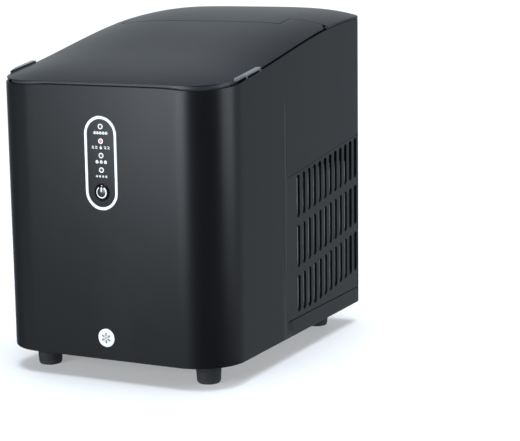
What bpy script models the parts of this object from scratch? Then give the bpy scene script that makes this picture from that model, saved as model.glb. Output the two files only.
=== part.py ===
"""Countertop bullet ice maker, built as the pieces it comes apart into.

Frame: origin on the floor at the centre of the footprint, +Z up, front at -Y, +X to the
right of someone who faces the front. Lengths are in metres.
"""

import math

import bmesh
import bpy
from mathutils import Matrix

MM = 0.001

# ---- Driving dimensions -------------------------------------------------------------
WIDTH = 240 * MM
DEPTH = 312 * MM
FOOT_HEIGHT = 20.8 * MM
FRONT_TOP = 274.7 * MM  # edge of the lid at the front
REAR_TOP = 317.8 * MM  # edge of the deck at the back
CROWN = 8.5 * MM  # rise of lid and deck from their edges to the middle
FRONT_RADIUS = 43.8 * MM
REAR_RADIUS = 6 * MM
SHELL_WALL = 2.5 * MM
SKIN = 2 * MM  # lid and deck
PANEL = 2 * MM  # grilles and other flat covers
GAP = 0.4 * MM  # between pieces that touch
RUN = 0.8 * MM  # between pieces that move past each other

# Lid and hinge
SEAM_FROM_BACK = 102 * MM  # joint line between lid and deck
SEAM_RUN = 1.2 * MM  # so that the lid's back edge clears the deck as it rises
HINGE_BEHIND = 15 * MM  # hinge axis behind the joint line
HINGE_DROP = 1.5 * MM  # hinge axis below the side edge
EAR_LENGTH = 24 * MM  # how far the two ears reach behind the joint line
EAR_CORNER = 5 * MM
EAR_LEFT_INSET = 19 * MM  # inner faces of the ears, from the sides
EAR_RIGHT_INSET = 41 * MM
SIDE_POCKET = 3.4 * MM  # in the deck, behind the lid's side edges
KNUCKLE_DROP = 1.4 * MM  # knuckles below the top surface
PIN_RADIUS = 1.5 * MM
PIN_INSET = 12 * MM  # outer ends of the pins, from the sides
BORE_PLAY = 0.3 * MM
BOSS_WIDTH = 17 * MM
BOSS_HALF = 7 * MM
LINER_INSET = 5 * MM
LINER_DEPTH = 5.8 * MM
TAB_LENGTH = 44 * MM
TAB_FRONT = 34 * MM  # from the front of the body to the tab
TAB_REACH = 6 * MM
TAB_THICK = 3.2 * MM

# Front controls
PILL_WIDTH = 33.5 * MM
PILL_HEIGHT = 85.4 * MM
PILL_Z = 202.6 * MM
RING_WIDTH = 2.7 * MM
LENS_RADIUS = 2.3 * MM
LENS_PITCH = 13.1 * MM
LENS_TOP_Z = 235.7 * MM
LENS_COUNT = 4
BUTTON_RADIUS = 7.5 * MM
BUTTON_Z = 176.2 * MM
BUTTON_TRAVEL = 1 * MM
BADGE_RADIUS = 8.6 * MM
BADGE_Z = 41.4 * MM
BADGE_THICK = 0.6 * MM
RING_THICK = 1 * MM
FLANGE = 1.5 * MM  # lip behind the shell that holds the control panel
CONTROL_DEPTH = 12 * MM  # from the front of the body to the board
SWITCH = 3.6 * MM
BOARD = 1.6 * MM

# Side grilles
GRILLE_LENGTH = 169.5 * MM
GRILLE_RECESS = 0.8 * MM
GRILLE_LOW = 36.5 * MM
GRILLE_HIGH = 175.6 * MM  # at its front end
GRILLE_SLOPE = 0.133
SLOT_WIDTH = 6.3 * MM
SLOT_HEIGHT = 41.2 * MM
SLOT_PITCH = 12.6 * MM
SLOT_ROW = 48.8 * MM
SLOT_COLUMNS = 12
SLOT_ROWS = 3
SLOT_START = 25 * MM  # from the grille's front edge to the first column
SLOT_LOW = 41.7 * MM  # the bottom row is cut off level here

# Ice compartment
TANK_SIDE = 17.5 * MM  # from the shell's inner face to the tank, filled partly with foam
FOAM = 9.6 * MM
TANK_WALL = 2 * MM
TANK_FLOOR = 44 * MM
TANK_DEEP = 76 * MM  # back of the deep part, in front of the lid's joint line
RIM_DROP = 19.7 * MM  # tank rim below the front edge of the lid
SHELF_DROP = 49 * MM  # shelf under the tray, below the rim
CHUTE_WALL = 2.5 * MM
FRAME_DROP = 9 * MM  # top frame below the lid surface
FRAME_THICK = 2.5 * MM
BASKET_PLAY = 6 * MM
BASKET_WALL = 1.8 * MM
BASKET_FLOOR = 112 * MM
BASKET_DROP = 7 * MM  # basket rim below the tank rim
DRAIN_INSET = 60 * MM  # from the left side
DRAIN_BACK = 56 * MM  # from the front
SPOUT_RADIUS = 8 * MM
SPOUT_BORE = 5 * MM
SPOUT_END = 12 * MM

# Freezing group: the tray and the shovel turn about one axis
TRAY_AHEAD = 34 * MM  # tray axis in front of the lid's joint line
TRAY_RISE = 7 * MM  # tray axis above the tank rim
TRAY_RADIUS = 34 * MM
TRAY_WALL = 2 * MM
TRAY_SIDE = 30 * MM  # from the tank's side to the end of the tray
MOTOR_RADIUS = 18 * MM
BEARING_RADIUS = 6 * MM
LINE_RADIUS = 3 * MM
LINE_X = 40 * MM
LINE_RISE = 37 * MM  # lines pass over the path of the tipping tray
TRAY_LIP = 25  # degrees from level down to the trough's lips
SHAFT_RADIUS = 3 * MM
FINGER_RADIUS = 4.2 * MM
FINGER_LENGTH = 36 * MM
FINGER_PITCH = 26 * MM
FINGER_ROW = 18 * MM
MANIFOLD = 12 * MM
SHOVEL_RADIUS = 38.5 * MM
SHOVEL_THICK = 4 * MM

# Machine compartment
BASE_WALL = 2.5 * MM
BASE_RIM = 12 * MM
REAR_INSET = 1.5 * MM  # rear panel behind the shell's rear edge
RETURN_WIDTH = 12 * MM  # shell's turned-in rear edge
COMPRESSOR_RADIUS = 43 * MM
COMPRESSOR_HEIGHT = 104 * MM
COMPRESSOR_FROM_BACK = 104 * MM
COMPRESSOR_SIDE = 22 * MM  # from the shell's inner face to the compressor
CONDENSER_THICK = 14 * MM
CONDENSER_HEIGHT = 128 * MM
CONDENSER_LENGTH = 134 * MM
FAN_RADIUS = 42 * MM
FAN_FROM_BACK = 82 * MM
FAN_Z = 106 * MM
FAN_BLADES = 7
DRIER_X = 22 * MM
ELECTRICS_DEPTH = 34 * MM  # main board and drier, in front of the back
FOOT_INSET_X = 34 * MM
FOOT_INSET_Y = 36.6 * MM
FOOT_RADIUS = 12 * MM
FOOT_STUD = 2.6 * MM
STUD_LENGTH = 4 * MM
SCREW_RADIUS = 1.5 * MM
SCREW_HEAD = 3.2 * MM
SCREW_LENGTH = 8 * MM
REAR_SLOTS = 9
REAR_SLOT_X = -12 * MM
REAR_SLOT_Z = 58 * MM
INLET_INSET = 46 * MM  # from the left side to the middle of the power inlet
INLET_Z = 54.8 * MM
INLET_WIDTH = 27 * MM
INLET_HEIGHT = 20 * MM

# ---- Derived places -----------------------------------------------------------------
HALF = WIDTH / 2
FRONT = -DEPTH / 2
BACK = DEPTH / 2
INNER = HALF - SHELL_WALL
SEAM_Y = BACK - SEAM_FROM_BACK
HINGE_Y = SEAM_Y + HINGE_BEHIND
EAR_END_Y = SEAM_Y + EAR_LENGTH
EAR_LEFT = HALF - EAR_LEFT_INSET
EAR_RIGHT = HALF - EAR_RIGHT_INSET
GRILLE_BACK = BACK - REAR_RADIUS
GRILLE_FRONT = GRILLE_BACK - GRILLE_LENGTH
FASCIA_FRONT = FRONT + GAP / 2
FLANGE_FRONT = FRONT + SHELL_WALL + GAP
TANK_HALF = INNER - TANK_SIDE
TANK_BACK = SEAM_Y - TANK_DEEP
DRAIN_X = -HALF + DRAIN_INSET
DRAIN_Y = FRONT + DRAIN_BACK
TANK_FRONT = FRONT + SHELL_WALL + TANK_SIDE - 2 * MM
RIM_Z = FRONT_TOP - RIM_DROP
SHELF_Z = RIM_Z - SHELF_DROP
TRAY_Y = SEAM_Y - TRAY_AHEAD
TRAY_Z = RIM_Z + TRAY_RISE
TRAY_HALF = TANK_HALF - TRAY_SIDE
COMPRESSOR_Y = BACK - COMPRESSOR_FROM_BACK
FAN_Y = BACK - FAN_FROM_BACK
CORNER_X = HALF - FRONT_RADIUS  # centre of the front corner arcs
CORNER_Y = FRONT + FRONT_RADIUS
CORNER_POWER = -math.log(2) / math.log(1 - (1 - math.sqrt(0.5)) * FRONT_RADIUS / HALF)
BASE_TOP = FOOT_HEIGHT + BASE_WALL
SKY = REAR_TOP + 40 * MM  # above everything, for cutters


def edge_height(y):
    """Height of the lid's and the deck's outer edge: an S curve from front to back."""
    along = min(max((y - FRONT) / DEPTH, 0), 1) ** 0.9
    return FRONT_TOP + (REAR_TOP - FRONT_TOP) * along * along * (3 - 2 * along)


def top_height(x, y):
    """Height of the crowned top surface, which meets the edge curve all round the outline."""
    side = abs(x) / HALF
    front = max(0, HALF - (y - FRONT)) / HALF
    out = (side**CORNER_POWER + front**CORNER_POWER) ** (1 / CORNER_POWER)
    return edge_height(y) + CROWN * (1 - out**4)


HINGE_Z = edge_height(HINGE_Y) - HINGE_DROP

# ---- Making things ------------------------------------------------------------------
for old in list(bpy.data.objects):
    bpy.data.objects.remove(old)

PARTS = bpy.data.collections.new("ice_maker")
CUTTERS = bpy.data.collections.new("cutters")
bpy.context.scene.collection.children.link(PARTS)
bpy.context.scene.collection.children.link(CUTTERS)
CUTTERS.hide_render = True

TURN = {
    "X": Matrix(((0, 0, 1, 0), (1, 0, 0, 0), (0, 1, 0, 0), (0, 0, 0, 1))),
    "Y": Matrix(((1, 0, 0, 0), (0, 0, -1, 0), (0, 1, 0, 0), (0, 0, 0, 1))),
    "Z": Matrix.Identity(4),
}


def material(name, colour, roughness, metallic=0.0):
    made = bpy.data.materials.new(name)
    made.use_nodes = True
    shader = made.node_tree.nodes["Principled BSDF"]
    shader.inputs["Base Color"].default_value = (*colour, 1)
    shader.inputs["Roughness"].default_value = roughness
    shader.inputs["Metallic"].default_value = metallic
    return made


GLOSS_BLACK = material("gloss_black", (0.015, 0.016, 0.018), 0.25)
SATIN_BLACK = material("satin_black", (0.022, 0.023, 0.026), 0.42)
DARK_GREY = material("dark_grey", (0.06, 0.06, 0.065), 0.5)
WHITE = material("white", (0.8, 0.8, 0.8), 0.4)
CLEAR = material("clear", (0.75, 0.78, 0.8), 0.15)
STEEL = material("steel", (0.55, 0.55, 0.56), 0.35, 1.0)
COPPER = material("copper", (0.72, 0.4, 0.26), 0.3, 1.0)
ALUMINIUM = material("aluminium", (0.75, 0.76, 0.77), 0.35, 1.0)
PAINTED = material("painted_black", (0.02, 0.02, 0.02), 0.4)
RUBBER = material("rubber", (0.02, 0.02, 0.02), 0.85)
FOAM_WHITE = material("foam", (0.85, 0.84, 0.8), 0.9)
BOARD_GREEN = material("board_green", (0.03, 0.16, 0.08), 0.5)


def show(obj, finish):
    """Makes an object one of the ice maker's pieces."""
    if obj.name not in PARTS.objects:
        PARTS.objects.link(obj)
    obj.data.materials.clear()
    obj.data.materials.append(finish)
    return obj


def hide(obj):
    """Makes an object a helper, which only cuts or joins."""
    if obj.name in PARTS.objects:
        PARTS.objects.unlink(obj)
    if obj.name not in CUTTERS.objects:
        CUTTERS.objects.link(obj)
    obj.hide_render = True
    obj.display_type = "WIRE"
    return obj


def boolean(obj, operation, helpers):
    for helper in helpers:
        step = obj.modifiers.new(operation.lower(), "BOOLEAN")
        step.operation = operation
        step.solver = "EXACT"
        step.object = hide(helper)
    return obj


def cut(obj, *helpers):
    return boolean(obj, "DIFFERENCE", helpers)


def join(obj, *helpers):
    return boolean(obj, "UNION", helpers)


def common(obj, *helpers):
    return boolean(obj, "INTERSECT", helpers)


def solid(name, bm):
    mesh = bpy.data.meshes.new(name)
    bmesh.ops.recalc_face_normals(bm, faces=bm.faces)
    if bm.calc_volume(signed=True) < 0:
        bmesh.ops.reverse_faces(bm, faces=bm.faces)
    bm.to_mesh(mesh)
    bm.free()
    obj = bpy.data.objects.new(name, mesh)
    PARTS.objects.link(obj)
    return obj


def plate(name, loops, low, high, axis="Z"):
    """A flat outline, with the later loops as holes, from low to high along an axis."""
    curve = bpy.data.curves.new(name, "CURVE")
    curve.dimensions = "2D"
    curve.fill_mode = "BOTH"
    curve.extrude = (high - low) / 2
    for loop in loops:
        spline = curve.splines.new("POLY")
        spline.points.add(len(loop) - 1)
        for point, (a, b) in zip(spline.points, loop):
            point.co = (a, b, 0, 1)
        spline.use_cyclic_u = True
    drawn = bpy.data.objects.new(name, curve)
    bpy.context.scene.collection.objects.link(drawn)
    bpy.context.view_layer.update()
    graph = bpy.context.evaluated_depsgraph_get()
    mesh = bpy.data.meshes.new_from_object(drawn.evaluated_get(graph))
    bpy.data.objects.remove(drawn)
    bpy.data.curves.remove(curve)
    bm = bmesh.new()
    bm.from_mesh(mesh)
    bpy.data.meshes.remove(mesh)
    bmesh.ops.remove_doubles(bm, verts=bm.verts, dist=1e-6)
    middle = (low + high) / 2
    shift = {"X": (middle, 0, 0), "Y": (0, middle, 0), "Z": (0, 0, middle)}[axis]
    bm.transform(Matrix.Translation(shift) @ TURN[axis])
    return solid(name, bm)


def box(name, low, high):
    bm = bmesh.new()
    bmesh.ops.create_cube(bm, size=1)
    size = [b - a for a, b in zip(low, high)]
    centre = [(a + b) / 2 for a, b in zip(low, high)]
    bm.transform(Matrix.Translation(centre) @ Matrix.Diagonal((*size, 1)))
    return solid(name, bm)


def rod(name, radius, low, high, axis, a, b, sides=24):
    """A round bar along an axis; a and b are its place on the other two axes, in XYZ order."""
    bm = bmesh.new()
    bmesh.ops.create_cone(
        bm, segments=sides, radius1=radius, radius2=radius, depth=high - low, cap_ends=True
    )
    middle = (low + high) / 2
    place = {"X": (middle, a, b), "Y": (a, middle, b), "Z": (a, b, middle)}[axis]
    bm.transform(Matrix.Translation(place) @ TURN[axis])
    return solid(name, bm)


def turned(name, profile, place, axis="Z", steps=24):
    """A turned shape; profile runs down its outer side as (radius, height along the axis)."""
    bm = bmesh.new()
    points = [bm.verts.new((radius, 0, height)) for radius, height in profile]
    closed = profile[0][0] > 0
    for a, b in zip(points, points[1:] + points[:1] * closed):
        bm.edges.new((a, b))
    mesh = bpy.data.meshes.new(name)
    bm.to_mesh(mesh)
    bm.free()
    obj = bpy.data.objects.new(name, mesh)
    PARTS.objects.link(obj)
    screw = obj.modifiers.new("turn", "SCREW")
    screw.steps = steps
    screw.render_steps = steps
    screw.use_merge_vertices = True
    screw.merge_threshold = 0.0001
    obj.rotation_euler = {"X": (0, math.pi / 2, 0), "Y": (-math.pi / 2, 0, 0), "Z": (0, 0, 0)}[axis]
    obj.location = place
    return obj


def smooth_route(points, spacing):
    """Points along a smooth curve through the given ones."""
    ends = [points[0], *points, points[-1]]
    route = []
    for before, a, b, after in zip(ends, ends[1:], ends[2:], ends[3:]):
        count = max(2, round(math.dist(a, b) / spacing))
        for step in range(count):
            t = step / count
            route.append(
                [
                    0.5
                    * (
                        2 * q
                        + (r - p) * t
                        + (2 * p - 5 * q + 4 * r - s) * t**2
                        + (3 * q - p - 3 * r + s) * t**3
                    )
                    for p, q, r, s in zip(before, a, b, after)
                ]
            )
    return [*route, points[-1]]


def tube(name, points, radius, spacing=16 * MM):
    curve = bpy.data.curves.new(name, "CURVE")
    curve.dimensions = "3D"
    curve.bevel_depth = radius
    curve.bevel_resolution = 2
    curve.use_fill_caps = True
    spline = curve.splines.new("POLY")
    route = smooth_route(points, spacing)
    spline.points.add(len(route) - 1)
    for point, place in zip(spline.points, route):
        point.co = (*place, 1)
    obj = bpy.data.objects.new(name, curve)
    PARTS.objects.link(obj)
    return obj


def arc(cx, cy, radius, start, end, steps):
    """Points on an arc, with angles in degrees."""
    angles = [math.radians(start + (end - start) * i / steps) for i in range(steps + 1)]
    return [(cx + radius * math.cos(t), cy + radius * math.sin(t)) for t in angles]


def circle(cx, cy, radius, steps=24):
    return arc(cx, cy, radius, 0, 360, steps)[:-1]


def rectangle(x0, y0, x1, y1):
    return [(x0, y0), (x1, y0), (x1, y1), (x0, y1)]


def upright_slot(cx, low, high, width, steps=3):
    """A slot with round ends, which runs up the sheet."""
    r = width / 2
    return arc(cx, high - r, r, 0, 180, steps) + arc(cx, low + r, r, 180, 360, steps)


def pill(width, height, centre, steps=8):
    return upright_slot(0, centre - height / 2, centre + height / 2, width, steps)


def body_outline(inset, back=BACK, back_radius=REAR_RADIUS, steps=7):
    """The body's plan outline moved inwards, from the rear right corner round the back."""
    x, y0 = HALF - inset, FRONT + inset
    r0, r1 = FRONT_RADIUS - inset, max(back_radius - inset, 0.5 * MM)
    y1 = back - inset if back == BACK else back
    return (
        arc(x - r1, y1 - r1, r1, 0, 90, 3)
        + arc(-x + r1, y1 - r1, r1, 90, 180, 3)
        + arc(-x + r0, y0 + r0, r0, 180, 270, steps)
        + arc(x - r0, y0 + r0, r0, 270, 360, steps)
    )


def tub_outline(half, front, back, radius, steps=6):
    """A plan outline with two round front corners and two square back ones."""
    return (
        [(half, back), (-half, back)]
        + arc(-half + radius, front + radius, radius, 180, 270, steps)
        + arc(half - radius, front + radius, radius, 270, 360, steps)
    )


def crowned_block(name, upper, lower, columns=10, rows=12, y0=FRONT, y1=BACK):
    """A block between two copies of the top surface, upper and lower being how far below."""
    margin = 3 * MM
    bm = bmesh.new()
    bmesh.ops.create_grid(bm, x_segments=columns, y_segments=rows, size=1)
    for vert in bm.verts:
        vert.co.x *= HALF + margin
        vert.co.y = (y0 + y1) / 2 + vert.co.y * ((y1 - y0) / 2 + margin)
    down = bmesh.ops.extrude_face_region(bm, geom=bm.faces[:])["geom"]
    under = {item for item in down if isinstance(item, bmesh.types.BMVert)}
    for vert in bm.verts:
        drop = lower if vert in under else upper
        vert.co.z = top_height(vert.co.x, vert.co.y) - drop
    return solid(name, bm)


def above_surface(name, drop):
    """A cutter for everything higher than the top surface moved down by drop."""
    return crowned_block(name, -SKY + FRONT_TOP, drop)


# ---- Housing ------------------------------------------------------------------------
def grille_window(inset):
    """The sloping four-sided outline of a side grille, in (y, z)."""
    rise = GRILLE_SLOPE * (GRILLE_BACK - GRILLE_FRONT)
    return [
        (GRILLE_FRONT + inset, GRILLE_LOW + inset),
        (GRILLE_BACK - inset, GRILLE_LOW + inset),
        (GRILLE_BACK - inset, GRILLE_HIGH + rise - inset),
        (GRILLE_FRONT + inset, GRILLE_HIGH - inset),
    ]


def outer_shell():
    """The wrap that forms the front and both sides and turns in at the back."""
    shell = plate(
        "outer_shell", [body_outline(0), body_outline(SHELL_WALL)], FOOT_HEIGHT, SKY - 20 * MM
    )
    window = HALF - RETURN_WIDTH
    seat = FRONT + RING_THICK + GAP
    cut(
        shell,
        above_surface("cut_shell_top", SKIN + GAP),
        box("cut_rear", (-window, BACK - 10 * MM, 0), (window, BACK + 10 * MM, SKY)),
        plate("cut_pill_seat", [pill(PILL_WIDTH + 2 * GAP, PILL_HEIGHT + 2 * GAP, PILL_Z)],
              FRONT - 5 * MM, seat, "Y"),
        plate("cut_pill", [pill(PILL_WIDTH - 2 * RING_WIDTH, PILL_HEIGHT - 2 * RING_WIDTH, PILL_Z)],
              FRONT - 5 * MM, FRONT + 10 * MM, "Y"),
        rod("cut_badge", BADGE_RADIUS + GAP, FRONT - 5 * MM, FRONT + BADGE_THICK + GAP, "Y",
            0, BADGE_Z, 32),
        plate("cut_grille_right", [grille_window(0)], HALF - 8 * MM, HALF + 5 * MM, "X"),
        plate("cut_grille_left", [grille_window(0)], -HALF - 5 * MM, -HALF + 8 * MM, "X"),
    )
    return show(shell, GLOSS_BLACK)


def grille_slots():
    loops = []
    for column in range(SLOT_COLUMNS):
        y = GRILLE_FRONT + SLOT_START + column * SLOT_PITCH
        top = GRILLE_HIGH + GRILLE_SLOPE * (y - GRILLE_FRONT) - SLOT_WIDTH / 2
        for row in range(SLOT_ROWS):
            high = top - row * SLOT_ROW
            low = max(high - SLOT_HEIGHT, SLOT_LOW)
            loops.append(upright_slot(y, low, high, SLOT_WIDTH))
    return loops


def side_grille(name, side):
    """A recessed panel with three rows of upright slots."""
    outer = HALF - GRILLE_RECESS
    low, high = sorted((side * outer, side * (outer - PANEL)))
    panel = plate(name, [grille_window(GAP)], low, high, "X")
    cut(panel, plate(f"cut_{name}", grille_slots(), low - MM, high + MM, "X"))
    return show(panel, SATIN_BLACK)


def rear_panel():
    """The back cover, with air slots, the inlet's cut-out and four screw holes."""
    face = BACK - REAR_INSET
    inner = BACK - SHELL_WALL - GAP
    half = HALF - RETURN_WIDTH - GAP
    low = FOOT_HEIGHT + GAP
    holes = [circle(x, z, SCREW_RADIUS + GAP, 12) for x, z in rear_screw_places()]
    holes.append(rectangle(*inlet_body(GAP)))
    for column in range(REAR_SLOTS):
        x = REAR_SLOT_X + column * SLOT_PITCH
        for row in range(2):
            z = REAR_SLOT_Z + row * SLOT_ROW
            holes.append(upright_slot(x, z, z + SLOT_HEIGHT, SLOT_WIDTH))
    panel = plate("rear_panel", [rectangle(-half, low, half, SKY)], inner - PANEL - GAP, face, "Y")
    flange = INNER - 3 * MM
    edge = box("rear_flange", (-flange, inner - PANEL, low + MM), (flange, inner, SKY - MM))
    middle = box("cut_flange", (-half + 2 * MM, inner - 10 * MM, 0), (half - 2 * MM, BACK, SKY + MM))
    cut(edge, middle)
    join(panel, edge)
    cut(
        panel,
        above_surface("cut_rear_top", SKIN + GAP),
        plate("cut_rear_holes", holes, BACK - 20 * MM, BACK + MM, "Y"),
    )
    return show(panel, SATIN_BLACK)


def rear_screw_places():
    x = HALF - RETURN_WIDTH - 10 * MM
    return [(side * x, z) for z in (FOOT_HEIGHT + 16 * MM, REAR_TOP - 28 * MM) for side in (-1, 1)]


def rear_screws():
    seat = BACK - REAR_INSET + GAP
    for number, (x, z) in enumerate(rear_screw_places(), 1):
        profile = [
            (0, BACK), (SCREW_HEAD * 0.7, BACK), (SCREW_HEAD, seat), (SCREW_RADIUS, seat),
            (SCREW_RADIUS, seat - SCREW_LENGTH), (0, seat - SCREW_LENGTH),
        ]
        show(turned(f"rear_screw_{number}", profile, (x, 0, z), "Y", 12), STEEL)


def base_chassis():
    """A pressed pan that carries the feet, the compressor and the drain spout."""
    inset = SHELL_WALL + GAP
    back = BACK - SHELL_WALL - PANEL - 4 * GAP
    outside = body_outline(inset, back)
    inside = body_outline(inset + BASE_WALL, back - BASE_WALL)
    holes = [circle(x, y, FOOT_STUD + GAP, 16) for x, y in foot_places().values()]
    holes.append(circle(DRAIN_X, DRAIN_Y, SPOUT_RADIUS + RUN, 24))
    pan = plate("base_chassis", [outside, *holes], FOOT_HEIGHT, BASE_TOP)
    rim = plate("base_rim", [outside, inside], FOOT_HEIGHT + MM, FOOT_HEIGHT + BASE_RIM)
    return show(join(pan, rim), PAINTED)


def foot_places():
    x, y = HALF - FOOT_INSET_X, BACK - FOOT_INSET_Y
    return {
        "front_left": (-x, -y),
        "front_right": (x, -y),
        "rear_left": (-x, y),
        "rear_right": (x, y),
    }


def feet():
    """Tapered rubber feet, each with a stud that goes up through the pan."""
    top = FOOT_HEIGHT - GAP
    for name, (x, y) in foot_places().items():
        profile = [
            (0, BASE_TOP + STUD_LENGTH), (FOOT_STUD, BASE_TOP + STUD_LENGTH), (FOOT_STUD, top),
            (FOOT_RADIUS, top), (FOOT_RADIUS * 0.92, 2 * MM), (FOOT_RADIUS * 0.8, 0), (0, 0),
        ]
        show(turned(f"foot_{name}", profile, (x, y, 0), "Z", 18), RUBBER)


# ---- Lid, deck and hinge ------------------------------------------------------------
def ears():
    """The x span of each ear, left and right, inside the side walls."""
    outer = INNER - GAP
    return [(-outer, -EAR_LEFT), (EAR_RIGHT, outer)]


def turned_ear(name, x0, x1, radius_at, steps=24):
    """A turned shape about the hinge axis, whose radius changes along X."""
    count = 3
    places = [x1 + (x0 - x1) * i / count for i in range(count + 1)]
    skin = [(radius_at(x), x) for x in places]
    return turned(name, [(0, x1), *skin, (0, x0)], (0, HINGE_Y, HINGE_Z), "X", steps)


def knuckle_radius(x):
    return top_height(x, HINGE_Y) - HINGE_Z - KNUCKLE_DROP


def tail_clearance(x):
    """The circle that the end of an ear needs as it turns down under the deck."""
    return math.hypot(top_height(x, EAR_END_Y) - HINGE_Z, EAR_END_Y - HINGE_Y) + GAP


def lid_outline():
    """Plan outline of the lid: round front corners and two ears at the back."""
    (left_out, left_in), (right_in, right_out) = ears()
    side, end, seam, round_off = HINGE_Y, EAR_END_Y, SEAM_Y, EAR_CORNER
    corners = [point for point in body_outline(0) if point[1] < 0]
    return [
        *corners, (HALF, side), (right_out, side),
        *arc(right_out - round_off, end - round_off, round_off, 0, 90, 4),
        (right_in, end), (right_in, seam), (left_in, seam), (left_in, end),
        *arc(left_out + round_off, end - round_off, round_off, 90, 180, 4),
        (left_out, side), (-HALF, side),
    ]


def finger_tab(name, side):
    """A ledge along the lid's edge, to lift it by."""
    front = FRONT + TAB_FRONT
    stations = [front + TAB_LENGTH * i / 4 for i in range(5)]
    high = [(y, edge_height(y) - SKIN + TAB_THICK) for y in stations]
    low = [(y, edge_height(y) - SKIN) for y in reversed(stations)]
    x0, x1 = sorted((side * (HALF - LINER_INSET + GAP), side * (HALF + TAB_REACH)))
    return plate(name, [low[::-1] + high[::-1]], x0, x1, "X")


def lid_cover():
    cover = crowned_block("lid_cover", 0, SKIN, 10, 10, FRONT, EAR_END_Y)
    common(cover, plate("keep_lid", [lid_outline()], 0, SKY))
    join(cover, finger_tab("tab_left", -1), finger_tab("tab_right", 1))
    for name, (x0, x1), (p0, p1) in zip(("left", "right"), ears(), pin_spans()):
        join(cover, turned_ear(f"knuckle_{name}", x0 + GAP / 2, x1 - GAP / 2, knuckle_radius))
        cut(cover, rod(f"cut_pin_{name}", PIN_RADIUS + BORE_PLAY, p0 - GAP, p1 + GAP, "X",
                       HINGE_Y, HINGE_Z))
    return show(cover, SATIN_BLACK)


def lid_liner():
    """The inner skin of the lid: a shallow tray turned upside down."""
    top = SKIN + GAP
    block = crowned_block("lid_liner", top, top + LINER_DEPTH, 10, 10, FRONT, SEAM_Y)
    half, front, back = HALF - LINER_INSET, FRONT + LINER_INSET, SEAM_Y - LINER_INSET
    radius = FRONT_RADIUS - LINER_INSET
    common(block, plate("keep_liner", [tub_outline(half, front, back, radius)], 0, SKY))
    hollow = crowned_block("cut_liner", top + PANEL, SKY, 10, 10, FRONT, SEAM_Y)
    inner = tub_outline(half - PANEL, front + PANEL, back - PANEL, radius - PANEL)
    common(hollow, plate("keep_cut_liner", [inner], 0, SKY))
    return show(cut(block, hollow), DARK_GREY)


def hinge_bosses():
    """The deck's two bearing blocks, as (x0, x1), beside the ears."""
    return [
        (-EAR_LEFT + 2 * RUN, -EAR_LEFT + RUN + BOSS_WIDTH),
        (EAR_RIGHT - RUN - BOSS_WIDTH, EAR_RIGHT - 2 * RUN),
    ]


def rear_deck():
    """The fixed top behind the lid, whose tongue carries both hinge bosses."""
    deck = crowned_block("rear_deck", 0, SKIN, 10, 6, SEAM_Y - 6 * MM, BACK)
    common(deck, plate("keep_deck", [body_outline(0)], 0, SKY))
    seam = SEAM_Y + SEAM_RUN
    cut(deck, plate("cut_deck_front", [rectangle(-WIDTH, FRONT, WIDTH, seam)], 0, SKY))
    for name, (x0, x1), (b0, b1) in zip(("left", "right"), ears(), hinge_bosses()):
        side = math.copysign(1, x0 + x1)
        inner = x1 if side < 0 else x0
        near, far = sorted((inner - side * RUN, side * WIDTH))
        cut(
            deck,
            box(f"cut_ear_{name}", (near, 0, 0), (far, HINGE_Y + SIDE_POCKET, SKY)),
            turned_ear(f"cut_tail_{name}", x0 - GAP * 0.9, x1 + RUN, tail_clearance, 48)
            if side < 0
            else turned_ear(f"cut_tail_{name}", x0 - RUN, x1 + GAP * 0.9, tail_clearance, 48),
        )
        boss = box(f"boss_{name}", (b0, HINGE_Y - BOSS_HALF, HINGE_Z - BOSS_HALF),
                   (b1, HINGE_Y + BOSS_HALF, SKY))
        cut(boss, above_surface(f"cut_boss_{name}", SKIN / 2))
        join(deck, boss)
        cut(deck, rod(f"cut_boss_pin_{name}", PIN_RADIUS + BORE_PLAY, b0 - MM, b1 + MM, "X",
                      HINGE_Y, HINGE_Z))
    return show(deck, SATIN_BLACK)


def pin_spans():
    """The x span of each hinge pin, from inside its ear to the far side of its boss."""
    (_, left), (right, _) = hinge_bosses()
    outer = HALF - PIN_INSET
    return [(-outer, left - MM), (right + MM, outer)]


def hinge_pins():
    """Steel pins that run from the deck's bosses into the lid's ears."""
    for name, (low, high) in zip(("left", "right"), pin_spans()):
        show(rod(f"hinge_pin_{name}", PIN_RADIUS, low, high, "X", HINGE_Y, HINGE_Z), STEEL)


# ---- Front controls -----------------------------------------------------------------
def lens_heights():
    return [LENS_TOP_Z - number * LENS_PITCH for number in range(LENS_COUNT)]


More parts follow.
